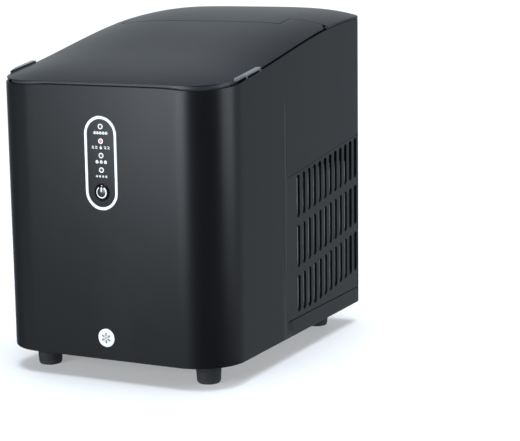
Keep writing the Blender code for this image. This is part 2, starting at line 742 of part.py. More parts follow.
def controls():
    width, height = PILL_WIDTH - 2 * RING_WIDTH, PILL_HEIGHT - 2 * RING_WIDTH
    ring = plate("control_ring", [pill(PILL_WIDTH, PILL_HEIGHT, PILL_Z), pill(width, height, PILL_Z)],
                 FRONT, FRONT + RING_THICK, "Y")
    show(ring, WHITE)
    holes = [circle(0, z, LENS_RADIUS + GAP, 16) for z in lens_heights()]
    holes.append(circle(0, BUTTON_Z, BUTTON_RADIUS + GAP, 24))
    face = pill(width - 2 * GAP, height - 2 * GAP, PILL_Z)
    fascia = plate("control_fascia", [face, *holes], FASCIA_FRONT, FLANGE_FRONT + FLANGE, "Y")
    inside = pill(width - 2 * MM, height - 2 * MM, PILL_Z)
    flange = plate("fascia_flange", [pill(PILL_WIDTH, PILL_HEIGHT, PILL_Z), inside],
                   FLANGE_FRONT, FLANGE_FRONT + FLANGE - 0.1 * MM, "Y")
    show(join(fascia, flange), GLOSS_BLACK)
    board_y = FRONT + CONTROL_DEPTH
    for number, z in enumerate(lens_heights(), 1):
        lens = rod(f"indicator_lens_{number}", LENS_RADIUS, FRONT, board_y - 2 * MM, "Y", 0, z, 16)
        show(lens, CLEAR)
    switch_front = board_y - GAP - SWITCH
    stem_end = switch_front - BUTTON_TRAVEL - GAP
    cap_back = FRONT + 3 * MM
    button = [
        (0, stem_end), (2 * MM, stem_end), (2 * MM, cap_back), (BUTTON_RADIUS, cap_back),
        (BUTTON_RADIUS, FRONT + 0.8 * MM), (BUTTON_RADIUS * 0.85, FRONT), (0, FRONT),
    ]
    show(turned("power_button", button, (0, 0, BUTTON_Z), "Y", 24), GLOSS_BLACK)
    half = PILL_WIDTH / 2
    low, high = PILL_Z - PILL_HEIGHT / 2 + 4 * MM, PILL_Z + PILL_HEIGHT / 2 - 2 * MM
    board = box("control_board", (-half, board_y, low), (half, board_y + BOARD, high))
    show(board, BOARD_GREEN)
    switch = box("tact_switch", (-3 * MM, switch_front, BUTTON_Z - 3 * MM),
                 (3 * MM, board_y - GAP, BUTTON_Z + 3 * MM))
    show(switch, DARK_GREY)
    badge = rod("badge", BADGE_RADIUS, FRONT, FRONT + BADGE_THICK, "Y", 0, BADGE_Z, 32)
    show(badge, WHITE)


# ---- Ice compartment ----------------------------------------------------------------
def compartment_outline(inset, back):
    """The tank's plan outline moved inwards."""
    radius = FRONT_RADIUS - (TANK_FRONT - FRONT)
    return tub_outline(TANK_HALF - inset, TANK_FRONT + inset, back, radius - inset)


def shelf_back():
    return TRAY_Y + SHOVEL_RADIUS + SHOVEL_THICK + 5.5 * MM


def water_tank():
    """A stepped tub: a deep water tank in front and a shelf under the tray."""
    wall = TANK_WALL
    back = shelf_back()
    tank = plate("water_tank", [compartment_outline(0, TANK_BACK)], TANK_FLOOR, RIM_Z)
    shelf = box("tank_shelf", (-TANK_HALF, TANK_BACK - 4 * wall, SHELF_Z), (TANK_HALF, back, RIM_Z))
    spout = rod("tank_spout", SPOUT_RADIUS, SPOUT_END, TANK_FLOOR + wall / 2, "Z", DRAIN_X, DRAIN_Y)
    join(tank, shelf, spout)
    deep = compartment_outline(wall, TANK_BACK - wall)
    cut(
        tank,
        plate("cut_tank", [deep], TANK_FLOOR + wall, SKY),
        box("cut_shelf", (-TANK_HALF + wall, TANK_BACK - 8 * wall, SHELF_Z + wall),
            (TANK_HALF - wall, back - wall, SKY)),
        rod("cut_spout", SPOUT_BORE, SPOUT_END - MM, TANK_FLOOR + 2 * wall, "Z", DRAIN_X, DRAIN_Y, 16),
    )
    for side in (-1, 1):
        x0, x1 = sorted((side * (TANK_HALF - wall / 2), side * (basket_half() - 2 * MM)))
        ledge = box(f"basket_ledge_{side}", (x0, TANK_BACK - 80 * MM, BASKET_FLOOR - 4 * MM),
                    (x1, TANK_BACK - 30 * MM, BASKET_FLOOR - GAP))
        join(tank, ledge)
    return show(tank, WHITE)


def basket_half():
    return TANK_HALF - TANK_WALL - BASKET_PLAY


def basket_back():
    return TANK_BACK - TANK_WALL - 2 * BASKET_PLAY


def ice_basket():
    """The lift-out basket, with drip slots in its floor and a finger hole in its front."""
    wall = BASKET_WALL
    inset = TANK_WALL + BASKET_PLAY
    basket = plate("ice_basket", [compartment_outline(inset, basket_back())],
                   BASKET_FLOOR, RIM_Z - BASKET_DROP)
    cut(basket, plate("cut_basket", [compartment_outline(inset + wall, basket_back() - wall)],
                      BASKET_FLOOR + wall, SKY))
    length = 26 * MM
    for row in range(2):
        for column in range(7):
            x = (column - 3) * 22 * MM
            y = basket_back() - 16 * MM - length / 2 - row * 36 * MM
            drip = box(f"cut_drip_{row}_{column}", (x - 2.5 * MM, y - length / 2, BASKET_FLOOR - MM),
                       (x + 2.5 * MM, y + length / 2, BASKET_FLOOR + 2 * wall))
            cut(basket, drip)
    return show(basket, CLEAR)


def foam_jacket():
    """Insulation under and round the deep part of the tank."""
    outer = tub_outline(TANK_HALF + FOAM + GAP, TANK_FRONT - FOAM - GAP, TANK_BACK + FOAM + GAP,
                        FRONT_RADIUS - (TANK_FRONT - FRONT) + FOAM + GAP)
    low = BASE_TOP + STUD_LENGTH + GAP
    jacket = plate("insulation_jacket", [outer], low, SHELF_Z - GAP)
    inner = compartment_outline(-GAP, TANK_BACK + GAP)
    half = PILL_WIDTH / 2 + 4 * MM
    cut(
        jacket,
        plate("cut_jacket", [inner], TANK_FLOOR - GAP, SKY),
        rod("cut_jacket_spout", SPOUT_RADIUS + RUN, 0, TANK_FLOOR + MM, "Z", DRAIN_X, DRAIN_Y),
        box("cut_jacket_board", (-half, FRONT, PILL_Z - PILL_HEIGHT / 2 - 4 * MM),
            (half, TANK_FRONT, SKY)),
    )
    return show(jacket, FOAM_WHITE)


def top_frame():
    """The surround under the lid, with a chute that leads down to the tank's rim."""
    frame = crowned_block("top_frame", FRAME_DROP, FRAME_DROP + FRAME_THICK, 10, 10, FRONT, chute_back())
    edge = SHELL_WALL + GAP
    outline = tub_outline(HALF - edge, FRONT + edge, chute_back() + CHUTE_WALL + MM, FRONT_RADIUS - edge)
    common(frame, plate("keep_frame", [outline], 0, SKY))
    chute = plate("chute", [compartment_outline(CHUTE_WALL / 2, chute_back() + CHUTE_WALL)],
                  RIM_Z + 1.5 * MM, SKY - MM)
    cut(chute, above_surface("cut_chute_top", FRAME_DROP + FRAME_THICK / 2))
    join(frame, chute)
    shaft = SHAFT_RADIUS + RUN
    line = LINE_RADIUS + 1.5 * MM
    cut(
        frame,
        plate("cut_chute", [compartment_outline(CHUTE_WALL * 1.5, chute_back())], 0, SKY),
        rod("cut_shaft_right", shaft, TANK_HALF - 20 * MM, INNER, "X", TRAY_Y, TRAY_Z),
        rod("cut_bearing_left", BEARING_RADIUS + GAP, -INNER, -TANK_HALF + 20 * MM, "X",
            TRAY_Y, TRAY_Z),
        rod("cut_line_left", line, chute_back() - MM, chute_back() + 10 * MM, "Y", -LINE_X, line_z()),
        rod("cut_line_right", line, chute_back() - MM, chute_back() + 10 * MM, "Y", LINE_X, line_z()),
    )
    return show(frame, SATIN_BLACK)


def chute_back():
    return TRAY_Y + TRAY_RADIUS + TRAY_WALL + 2 * MM


def chute_inner():
    """Half the clear width between the chute's side walls."""
    return TANK_HALF - CHUTE_WALL * 1.5


def line_z():
    """Height at which the refrigerant lines leave the compartment."""
    return TRAY_Z + LINE_RISE


def line_start(x):
    """A line's first points: up from the evaporator, over the tray and out at the back."""
    top = TRAY_Z + MANIFOLD * 1.5
    behind = shelf_back() + 7 * MM
    return [
        (x, TRAY_Y + 4 * MM, top + GAP), (x, TRAY_Y + 4 * MM, top + 10 * MM),
        (x, TRAY_Y + 14 * MM, line_z() - MM), (x, chute_back(), line_z()),
        (x, behind - 4 * MM, line_z() - 4 * MM), (x, behind, line_z() - 20 * MM),
        (x, behind, SHELF_Z),
    ]


def sensors():
    """Ice-full eyes in the chute walls and the level sensor in the tank."""
    for name, side in (("left", -1), ("right", 1)):
        x0, x1 = sorted((side * (chute_inner() - GAP), side * (chute_inner() - 4 * MM)))
        z = RIM_Z + 3 * MM
        eye = box(f"ice_full_sensor_{name}", (x0, TANK_BACK - 46 * MM, z),
                  (x1, TANK_BACK - 34 * MM, z + 8 * MM))
        bevel = eye.modifiers.new("round", "BEVEL")
        bevel.width = 1 * MM
        show(eye, DARK_GREY)
    x = -TANK_HALF + TANK_WALL + 6 * MM
    y = TANK_BACK - TANK_WALL - GAP
    level = box("water_level_sensor", (x, y - 10 * MM, TANK_FLOOR + 6 * MM),
                (x + 12 * MM, y, TANK_FLOOR + 46 * MM))
    show(level, DARK_GREY)


def drain():
    """A quarter-turn cap over the spout, with a seal inside it."""
    floor = SPOUT_END - 4.6 * MM
    inner = SPOUT_RADIUS + RUN
    cap = [
        (inner, SPOUT_END + 6.4 * MM), (inner + 3 * MM, SPOUT_END + 6.4 * MM),
        (inner + 4 * MM, floor), (0, floor),
    ]
    cap = [(0, floor + 2.4 * MM), (inner, floor + 2.4 * MM), *cap]
    body = turned("drain_cap", cap, (DRAIN_X, DRAIN_Y, 0), "Z", 24)
    grip = box("cap_grip", (DRAIN_X - inner, DRAIN_Y - 1.5 * MM, floor - 3 * MM),
               (DRAIN_X + inner, DRAIN_Y + 1.5 * MM, floor + MM))
    show(join(body, grip), DARK_GREY)
    low, high = floor + 2.4 * MM + GAP, SPOUT_END - GAP
    seal = [(SPOUT_BORE, high), (SPOUT_RADIUS, high), (SPOUT_RADIUS, low), (SPOUT_BORE, low)]
    show(turned("drain_seal", seal, (DRAIN_X, DRAIN_Y, 0), "Z", 24), RUBBER)


# ---- Freezing group -----------------------------------------------------------------
def finger_places():
    """Five fingers in the back row and four in the front one."""
    places = []
    for row, count in ((1, 5), (-1, 4)):
        for number in range(count):
            places.append(((number - (count - 1) / 2) * FINGER_PITCH, TRAY_Y + row * FINGER_ROW / 2))
    return places


def evaporator():
    """A hollow bar with nine cold fingers that hang into the tray."""
    half = FINGER_PITCH * 2 + 10 * MM
    low = TRAY_Z + MANIFOLD / 2
    bar = box("evaporator", (-half, TRAY_Y - FINGER_ROW / 2 - 5 * MM, low),
              (half, TRAY_Y + FINGER_ROW / 2 + 5 * MM, low + MANIFOLD))
    tip = FINGER_RADIUS * 0.6
    profile = [
        (0, low + MM), (FINGER_RADIUS, low + MM), (FINGER_RADIUS, low - FINGER_LENGTH + 4 * MM),
        (tip, low - FINGER_LENGTH), (0, low - FINGER_LENGTH),
    ]
    for number, (x, y) in enumerate(finger_places()):
        join(bar, turned(f"finger_{number}", profile, (x, y, 0), "Z", 12))
    return show(bar, STEEL)


def water_tray():
    """A trough that turns about its own axis, so the fingers clear it as it tips."""
    outer, inner = TRAY_RADIUS + TRAY_WALL, TRAY_RADIUS
    start, end = 180 + TRAY_LIP, 360 - TRAY_LIP
    section = arc(TRAY_Y, TRAY_Z, outer, start, end, 14)
    hollow = arc(TRAY_Y, TRAY_Z, inner, start, end, 14)
    tray = plate("water_tray", [section + hollow[::-1]], -TRAY_HALF, TRAY_HALF, "X")
    hub = SHAFT_RADIUS + 3 * MM
    web = section + [(TRAY_Y + hub, TRAY_Z)] + arc(TRAY_Y, TRAY_Z, hub, 30, 150, 4) + [(TRAY_Y - hub, TRAY_Z)]
    for side in (-1, 1):
        x0, x1 = sorted((side * TRAY_HALF, side * (TRAY_HALF - TRAY_WALL)))
        join(tray, plate(f"tray_end_{side}", [web], x0, x1, "X"))
    bore = rod("cut_tray_bore", SHAFT_RADIUS + BORE_PLAY, TRAY_HALF - 10 * MM, TRAY_HALF + MM, "X",
               TRAY_Y, TRAY_Z, 16)
    cut(tray, bore)
    pin = rod("tray_pin", SHAFT_RADIUS, -chute_inner() - CHUTE_WALL, -TRAY_HALF + MM, "X",
              TRAY_Y, TRAY_Z, 16)
    join(tray, pin)
    return show(tray, CLEAR)


def tray_drive():
    """Gear motor outside the chute, its shaft, and the bush at the other end."""
    shaft = rod("tray_shaft", SHAFT_RADIUS, TRAY_HALF - TRAY_WALL - MM, motor_face() - GAP, "X",
                TRAY_Y, TRAY_Z, 16)
    show(shaft, STEEL)
    motor = rod("tray_gear_motor", MOTOR_RADIUS, motor_face(), INNER - MM, "X", TRAY_Y, TRAY_Z + 6 * MM, 24)
    show(motor, STEEL)
    low = -chute_inner() - CHUTE_WALL - MM
    bush = rod("tray_bearing", BEARING_RADIUS, low, -chute_inner() + 2 * MM, "X", TRAY_Y, TRAY_Z, 16)
    cut(bush, rod("cut_bush", SHAFT_RADIUS + BORE_PLAY, low - MM, -chute_inner() + 4 * MM, "X",
                  TRAY_Y, TRAY_Z, 16))
    show(bush, WHITE)


def motor_face():
    return TANK_HALF + GAP


def ice_shovel():
    """Two arms on the tray's axis and a curved blade that sweeps ice into the basket."""
    inner, outer = SHOVEL_RADIUS, SHOVEL_RADIUS + SHOVEL_THICK
    blade = arc(TRAY_Y, TRAY_Z, outer, 288, 312, 4) + arc(TRAY_Y, TRAY_Z, inner, 312, 288, 4)
    reach = TRAY_HALF + RUN + 2 * MM
    shovel = plate("ice_shovel", [blade], -reach, reach, "X")
    hub = SHAFT_RADIUS + 3 * MM
    arm = arc(TRAY_Y, TRAY_Z, hub, 40, 200, 6) + arc(TRAY_Y, TRAY_Z, outer, 290, 310, 3)
    hole = circle(TRAY_Y, TRAY_Z, SHAFT_RADIUS + BORE_PLAY, 16)
    for side in (-1, 1):
        x0, x1 = sorted((side * (TRAY_HALF + RUN), side * (TRAY_HALF + RUN + 3 * MM)))
        join(shovel, plate(f"shovel_arm_{side}", [arm, hole], x0, x1, "X"))
    return show(shovel, DARK_GREY)


def pump():
    """A small pump on the tank floor and the hose that fills the tray."""
    x, y = TANK_HALF - 30 * MM, TANK_BACK - 28 * MM
    low = TANK_FLOOR + TANK_WALL + GAP
    body = turned("water_pump", [
        (0, low + 32 * MM), (5 * MM, low + 32 * MM), (5 * MM, low + 28 * MM), (12 * MM, low + 27 * MM),
        (14 * MM, low + 22 * MM), (14 * MM, low), (0, low),
    ], (x, y, 0))
    show(body, DARK_GREY)
    rise = TANK_BACK - TANK_WALL - BASKET_PLAY
    route = [
        (x, y, low + 32 * MM + GAP), (x, y + 2 * MM, low + 42 * MM), (x, rise - 4 * MM, low + 54 * MM),
        (x, rise, low + 70 * MM), (x, rise, RIM_Z - 30 * MM), (x, rise, RIM_Z),
        (x - 8 * MM, rise + 4 * MM, RIM_Z + 20 * MM), (x - 18 * MM, TANK_BACK + 8 * MM, TRAY_Z + 24 * MM),
    ]
    show(tube("water_hose", route, 3 * MM), CLEAR)


# ---- Machine compartment ------------------------------------------------------------
def compressor():
    x = -INNER + COMPRESSOR_RADIUS + COMPRESSOR_SIDE
    low = BASE_TOP + 9 * MM + 2 * GAP
    high = low + COMPRESSOR_HEIGHT
    r = COMPRESSOR_RADIUS
    seam = low + COMPRESSOR_HEIGHT * 0.42
    pot = turned("compressor", [
        (0, high), (r * 0.45, high - 2 * MM), (r * 0.75, high - 10 * MM), (r * 0.93, high - 28 * MM),
        (r * 0.95, seam + 4 * MM), (r, seam + 4 * MM), (r, seam), (r * 0.93, seam - 2 * MM),
        (r * 0.92, low + 14 * MM), (r * 0.7, low + 2 * MM), (0, low),
    ], (x, COMPRESSOR_Y, 0), "Z", 28)
    show(pot, PAINTED)
    reach = r - 6 * MM
    top = low - GAP
    bracket = box("compressor_bracket", (x - r, COMPRESSOR_Y - r, top - 2 * MM),
                  (x + r, COMPRESSOR_Y + r, top))
    for i, j in ((-1, -1), (-1, 1), (1, -1), (1, 1)):
        post = rod(f"bracket_post_{i}_{j}", 5 * MM, BASE_TOP + GAP, top - MM, "Z",
                   x + i * reach, COMPRESSOR_Y + j * reach, 12)
        join(bracket, post)
    show(bracket, STEEL)
    return x, high


def condenser():
    """A finned coil behind the right grille, with its tube bends at both ends."""
    x1 = INNER - 4.5 * MM
    x0 = x1 - CONDENSER_THICK
    y0, low = FAN_Y - CONDENSER_LENGTH / 2, FAN_Z - CONDENSER_HEIGHT / 2
    block = box("condenser", (x0, y0, low), (x1, y0 + CONDENSER_LENGTH, low + CONDENSER_HEIGHT))
    turns = 5
    pitch = CONDENSER_HEIGHT / turns
    for number in range(turns):
        z = low + pitch * (number + 0.5)
        bend = plate(f"coil_bend_{number}", [arc(y0 + MM, z, 8 * MM, 90, 270, 6)],
                     (x0 + x1) / 2 - 3 * MM, (x0 + x1) / 2 + 3 * MM, "X")
        join(block, bend)
    show(block, ALUMINIUM)
    return x0, low


def fan(condenser_x):
    """Shroud, blades and motor, in line along X, blowing through the condenser."""
    half = FAN_RADIUS + 8 * MM
    x1 = condenser_x - GAP
    x0 = x1 - 8 * MM
    shroud = plate("fan_shroud", [
        rectangle(FAN_Y - half, FAN_Z - half, FAN_Y + half, FAN_Z + half),
        circle(FAN_Y, FAN_Z, FAN_RADIUS + 2 * MM, 32),
    ], x0, x1, "X")
    show(shroud, DARK_GREY)
    b1, b0 = x0 - RUN, x0 - RUN - 12 * MM
    hub = rod("fan_blades", 11 * MM, b0, b1, "X", FAN_Y, FAN_Z, 21)
    for number in range(FAN_BLADES):
        bm = bmesh.new()
        bmesh.ops.create_cube(bm, size=1)
        length = FAN_RADIUS - 9 * MM
        bm.transform(
            Matrix.Translation(((b0 + b1) / 2, FAN_Y, FAN_Z))
            @ Matrix.Rotation(math.tau * number / FAN_BLADES, 4, "X")
            @ Matrix.Translation((0, 0, 9 * MM + length / 2))
            @ Matrix.Rotation(math.radians(34), 4, "Z")
            @ Matrix.Diagonal((1.5 * MM, 18 * MM, length, 1))
        )
        join(hub, solid(f"blade_{number}", bm))
    common(hub, rod("keep_fan", FAN_RADIUS, b0, b1, "X", FAN_Y, FAN_Z, 42))
    show(hub, DARK_GREY)
    m1, m0 = b0 - RUN, b0 - RUN - 24 * MM
    motor = rod("fan_motor", 15 * MM, m0, m1, "X", FAN_Y, FAN_Z, 24)
    show(motor, STEEL)
    stand = box("fan_stand", (m0 - GAP - 2 * MM, FAN_Y - 16 * MM, BASE_TOP + GAP),
                (m0 - GAP, FAN_Y + 16 * MM, FAN_Z + 16 * MM))
    foot = box("stand_foot", (m0 - 20 * MM, FAN_Y - 16 * MM, BASE_TOP + GAP),
               (m0 - GAP - MM, FAN_Y + 16 * MM, BASE_TOP + GAP + 2 * MM))
    show(join(stand, foot), STEEL)


def refrigerant_parts(compressor_x, compressor_top, condenser_x, condenser_low):
    """Drier, hot gas valve and the copper lines that tie the circuit together."""
    drier_x, drier_y, drier_low = DRIER_X, BACK - ELECTRICS_DEPTH, BASE_TOP + 30 * MM
    drier = turned("filter_drier", [
        (0, drier_low + 76 * MM), (3 * MM, drier_low + 76 * MM), (9 * MM, drier_low + 66 * MM),
        (9 * MM, drier_low + 10 * MM), (3 * MM, drier_low), (0, drier_low),
    ], (drier_x, drier_y, 0), "Z", 16)
    show(drier, COPPER)
    valve_y = COMPRESSOR_Y + COMPRESSOR_RADIUS + 16 * MM
    valve = box("hot_gas_valve", (compressor_x - 14 * MM, valve_y, compressor_top - 34 * MM),
                (compressor_x + 14 * MM, valve_y + 22 * MM, compressor_top - 6 * MM))
    neck = rod("valve_neck", 4 * MM, compressor_top - 50 * MM, compressor_top - 30 * MM, "Z",
               compressor_x, valve_y + 11 * MM, 12)
    show(join(valve, neck), COPPER)
    behind = shelf_back() + 7 * MM
    suction = [
        *line_start(-LINE_X), (-LINE_X, behind, compressor_top + 20 * MM),
        (compressor_x, COMPRESSOR_Y, compressor_top + 18 * MM),
        (compressor_x, COMPRESSOR_Y, compressor_top + MM),
    ]
    show(tube("suction_line", suction, LINE_RADIUS), COPPER)
    x = condenser_x - 14 * MM
    liquid = [
        *line_start(LINE_X), (LINE_X - 8 * MM, drier_y - 12 * MM, SHELF_Z - 40 * MM),
        (drier_x, drier_y, drier_low + 96 * MM), (drier_x, drier_y, drier_low + 76 * MM + GAP),
    ]
    show(tube("liquid_line", liquid, LINE_RADIUS / 2), COPPER)
    y = FAN_Y + CONDENSER_LENGTH / 2
    discharge = [
        (drier_x, drier_y, drier_low - MM), (drier_x, drier_y, drier_low - 8 * MM),
        (drier_x + 16 * MM, drier_y + 4 * MM, condenser_low - 13 * MM),
        (x, y - 10 * MM, condenser_low - 14 * MM),
        (condenser_x + 7 * MM, y - 10 * MM, condenser_low - 9 * MM),
        (condenser_x + 7 * MM, y - 10 * MM, condenser_low - MM),
    ]
    show(tube("discharge_line", discharge, LINE_RADIUS * 0.8), COPPER)


def electrics():
    """Main board behind the tank and the mains inlet in the rear panel."""
    y = BACK - ELECTRICS_DEPTH
    low = SHELF_Z + 10 * MM
    board = box("main_board", (-60 * MM, y, low), (60 * MM, y + BOARD, low + 70 * MM))
    for number, (x, z, w, h, d) in enumerate((
        (-44, 12, 18, 15, 15), (-18, 14, 18, 15, 15), (12, 14, 26, 22, 16), (42, 16, 12, 12, 14),
        (-30, 48, 40, 8, 9), (30, 50, 14, 14, 5),
    )):
        part = box(f"board_part_{number}", (x * MM - w * MM / 2, y - d * MM, low + z * MM - h * MM / 2),
                   (x * MM + w * MM / 2, y + BOARD / 2, low + z * MM + h * MM / 2))
        join(board, part)
    show(board, BOARD_GREEN)
    x0, z0, x1, z1 = inlet_body(0)
    face = BACK - REAR_INSET
    rim = 3 * MM
    inlet = box("power_inlet", (x0, face - 22 * MM, z0), (x1, face + MM, z1))
    flange = box("inlet_flange", (x0 - rim, face + GAP, z0 - rim), (x1 + rim, BACK, z1 + rim))
    join(inlet, flange)
    wall = 2.2 * MM
    cut(inlet, box("cut_inlet", (x0 + wall, face - 15 * MM, z0 + wall), (x1 - wall, BACK + MM, z1 - wall)))
    centre = (x0 + x1) / 2
    for number, (dx, dz) in enumerate(((-7, -1), (0, 3), (7, -1))):
        x, z = centre + dx * MM, (z0 + z1) / 2 + dz * MM
        blade = box(f"inlet_blade_{number}", (x - MM, face - 16 * MM, z - 2 * MM),
                    (x + MM, face - 5 * MM, z + 2 * MM))
        join(inlet, blade)
    show(inlet, DARK_GREY)


def inlet_body(grow):
    """The inlet's opening in the rear panel, grown outwards, as (x0, z0, x1, z1)."""
    x, half, tall = -HALF + INLET_INSET, INLET_WIDTH / 2 + grow, INLET_HEIGHT / 2 + grow
    return x - half, INLET_Z - tall, x + half, INLET_Z + tall


def main():
    outer_shell()
    side_grille("side_grille_left", -1)
    side_grille("side_grille_right", 1)
    rear_panel()
    rear_screws()
    base_chassis()
    feet()
    top_frame()
    rear_deck()
    lid_cover()
    lid_liner()
    hinge_pins()
    controls()
    water_tank()
    foam_jacket()
    ice_basket()
    sensors()
    drain()
    evaporator()
    water_tray()
    tray_drive()
    ice_shovel()
    pump()
    compressor_x, compressor_top = compressor()
    condenser_x, condenser_low = condenser()
    fan(condenser_x)
    refrigerant_parts(compressor_x, compressor_top, condenser_x, condenser_low)
    electrics()


main()
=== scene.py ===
import math
import random

import bmesh
import bpy
from mathutils import Matrix, Vector


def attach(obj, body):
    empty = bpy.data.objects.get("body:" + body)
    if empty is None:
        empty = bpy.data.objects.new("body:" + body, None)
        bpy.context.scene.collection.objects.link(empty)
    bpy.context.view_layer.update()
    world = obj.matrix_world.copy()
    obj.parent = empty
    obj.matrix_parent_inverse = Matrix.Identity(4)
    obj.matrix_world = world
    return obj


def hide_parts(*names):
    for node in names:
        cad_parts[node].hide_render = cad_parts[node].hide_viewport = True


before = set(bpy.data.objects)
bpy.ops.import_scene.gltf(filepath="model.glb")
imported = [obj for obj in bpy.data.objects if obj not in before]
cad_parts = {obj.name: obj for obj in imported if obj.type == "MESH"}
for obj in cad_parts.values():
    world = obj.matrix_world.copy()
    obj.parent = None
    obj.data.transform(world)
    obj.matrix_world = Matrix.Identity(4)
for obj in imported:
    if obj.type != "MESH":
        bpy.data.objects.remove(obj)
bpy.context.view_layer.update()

MM = 0.001
scene = bpy.context.scene


# ---- Studio ----------------------------------------------------------------------------
# A small pale floor that fades into a white backdrop, and soft light from above, from
# the front left and from the right. The room is brighter behind and dark by the camera.
class Wire:
    """An output in a material. Sums on wires add Math nodes."""

    def __init__(self, finish, socket):
        self.finish, self.socket = finish, socket

    def maths(self, operation, *inputs):
        return self.finish.node("ShaderNodeMath", dict(enumerate(inputs)), operation=operation)

    def __add__(self, other):
        return self.maths("ADD", self, other)

    def __sub__(self, other):
        return self.maths("SUBTRACT", self, other)

    def __rsub__(self, other):
        return self.maths("SUBTRACT", other, self)

    def __mul__(self, other):
        return self.maths("MULTIPLY", self, other)

    __radd__, __rmul__ = __add__, __mul__

    def held(self, low, high):
        """This value from low to high as a smooth step from 0 to 1."""
        return self.finish.node(
            "ShaderNodeMapRange", {"Value": self, "From Min": low, "From Max": high},
            interpolation_type="SMOOTHSTEP",
        )


class Finish:
    """One Principled material, whose inputs take plain values or wires."""

    def __init__(self, name, colour, roughness, metallic=0.0, **constants):
        self.material = bpy.data.materials.new(name)
        self.material.use_nodes = True
        self.tree = self.material.node_tree
        self.shader = self.tree.nodes["Principled BSDF"]
        self.feed({"Base Color": (*colour, 1), "Roughness": roughness, "Metallic": metallic})
        self.feed({key.replace("_", " "): value for key, value in constants.items()})

    def feed(self, values, node=None):
        inputs = (node or self.shader).inputs
        for key, value in values.items():
            if isinstance(value, Wire):
                self.tree.links.new(value.socket, inputs[key])
            else:
                inputs[key].default_value = value

    def node(self, kind, inputs=None, output=0, **settings):
        made = self.tree.nodes.new(kind)
        for key, value in settings.items():
            setattr(made, key, value)
        self.feed(inputs or {}, made)
        return Wire(self, made.outputs[output])

    def place(self, scale=(1, 1, 1)):
        """Object coordinates in metres, stretched by scale."""
        where = self.node("ShaderNodeTexCoord", output="Object")
        return self.node("ShaderNodeMapping", {"Vector": where, "Scale": scale})

    def axis(self, name):
        where = self.node("ShaderNodeTexCoord", output="Object")
        return self.node("ShaderNodeSeparateXYZ", {"Vector": where}, output=name)

    def noise(self, size, detail=3, stretch=(1, 1, 1)):
        """Even-sized noise from 0 to 1, whose blotches are about size metres across."""
        inputs = {"Vector": self.place(stretch), "Scale": 1 / size, "Detail": detail}
        return self.node("ShaderNodeTexNoise", inputs, "Fac")

    def cells(self, scale):
        """Distance from the middle of each cell in a random pattern."""
        inputs = {"Vector": self.place(), "Scale": scale}
        return self.node("ShaderNodeTexVoronoi", inputs, "Distance")

    def mix(self, mask, first, second):
        """A colour between two, by a mask."""
        colours = [c if isinstance(c, Wire) else (*c, 1) for c in (first, second)]
        return self.node(
            "ShaderNodeMix", {0: mask, 6: colours[0], 7: colours[1]}, output=2, data_type="RGBA"
        )

    def bump(self, height, distance):
        return self.node("ShaderNodeBump", {"Height": height, "Distance": distance})


def studio_floor():
    bm = bmesh.new()
    bmesh.ops.create_grid(bm, x_segments=24, y_segments=24, size=1.6)
    mesh = bpy.data.meshes.new("floor")
    bm.to_mesh(mesh)
    bm.free()
    floor = bpy.data.objects.new("floor", mesh)
    scene.collection.objects.link(floor)
    pale = Finish("floor_white", (0.9, 0.9, 0.91), 0.6, Specular_IOR_Level=0.2)
    x, y = pale.axis("X"), pale.axis("Y")
    square = x * x + y * y
    away = square.maths("SQRT", square)
    pale.feed({"Roughness": 0.55 + 0.1 * pale.noise(0.4),
               "Alpha": 0.74 * (1 - away.held(0.5, 0.95))})
    mesh.materials.append(pale.material)
    floor.visible_glossy = False


def soft_light(name, place, target, width, height, power):
    data = bpy.data.lights.new(name, "AREA")
    data.shape, data.color = "RECTANGLE", (0.86, 0.93, 1)
    data.size, data.size_y, data.energy = width, height, power
    light = bpy.data.objects.new(name, data)
    scene.collection.objects.link(light)
    light.location = place
    aim = Vector(target) - Vector(place)
    light.rotation_euler = aim.to_track_quat("-Z", "Y").to_euler()
    return light


def surroundings(base, patches, seen):
    """A room that is white to look at, and lights the object more from some sides."""
    world = bpy.data.worlds.new("white_room")
    world.use_nodes = True
    tree = world.node_tree

    def node(kind, values, output=0, **settings):
        made = tree.nodes.new(kind)
        for key, value in settings.items():
            setattr(made, key, value)
        for key, value in values.items():
            if isinstance(value, bpy.types.NodeSocket):
                tree.links.new(value, made.inputs[key])
            else:
                made.inputs[key].default_value = value
        return made.outputs[output]

    direction = node("ShaderNodeTexCoord", {}, "Generated")
    total = base
    for bearing, inner, outer, strength in patches:
        towards = node("ShaderNodeVectorMath", {0: direction, 1: Vector(bearing).normalized()},
                       "Value", operation="DOT_PRODUCT")
        glow = node("ShaderNodeMapRange", {
            "Value": towards, "From Min": math.cos(math.radians(outer)),
            "From Max": math.cos(math.radians(inner)), "To Max": strength,
        }, interpolation_type="SMOOTHSTEP")
        total = node("ShaderNodeMath", {0: glow, 1: total}, operation="ADD")
    room = node("ShaderNodeBackground", {"Color": (0.84, 0.92, 1, 1), "Strength": total})
    backdrop = node("ShaderNodeBackground", {"Strength": seen})
    looked_at = node("ShaderNodeLightPath", {}, "Is Camera Ray")
    chosen = node("ShaderNodeMixShader", {0: looked_at, 1: room, 2: backdrop})
    tree.links.new(chosen, tree.nodes["World Output"].inputs["Surface"])
    scene.world = world


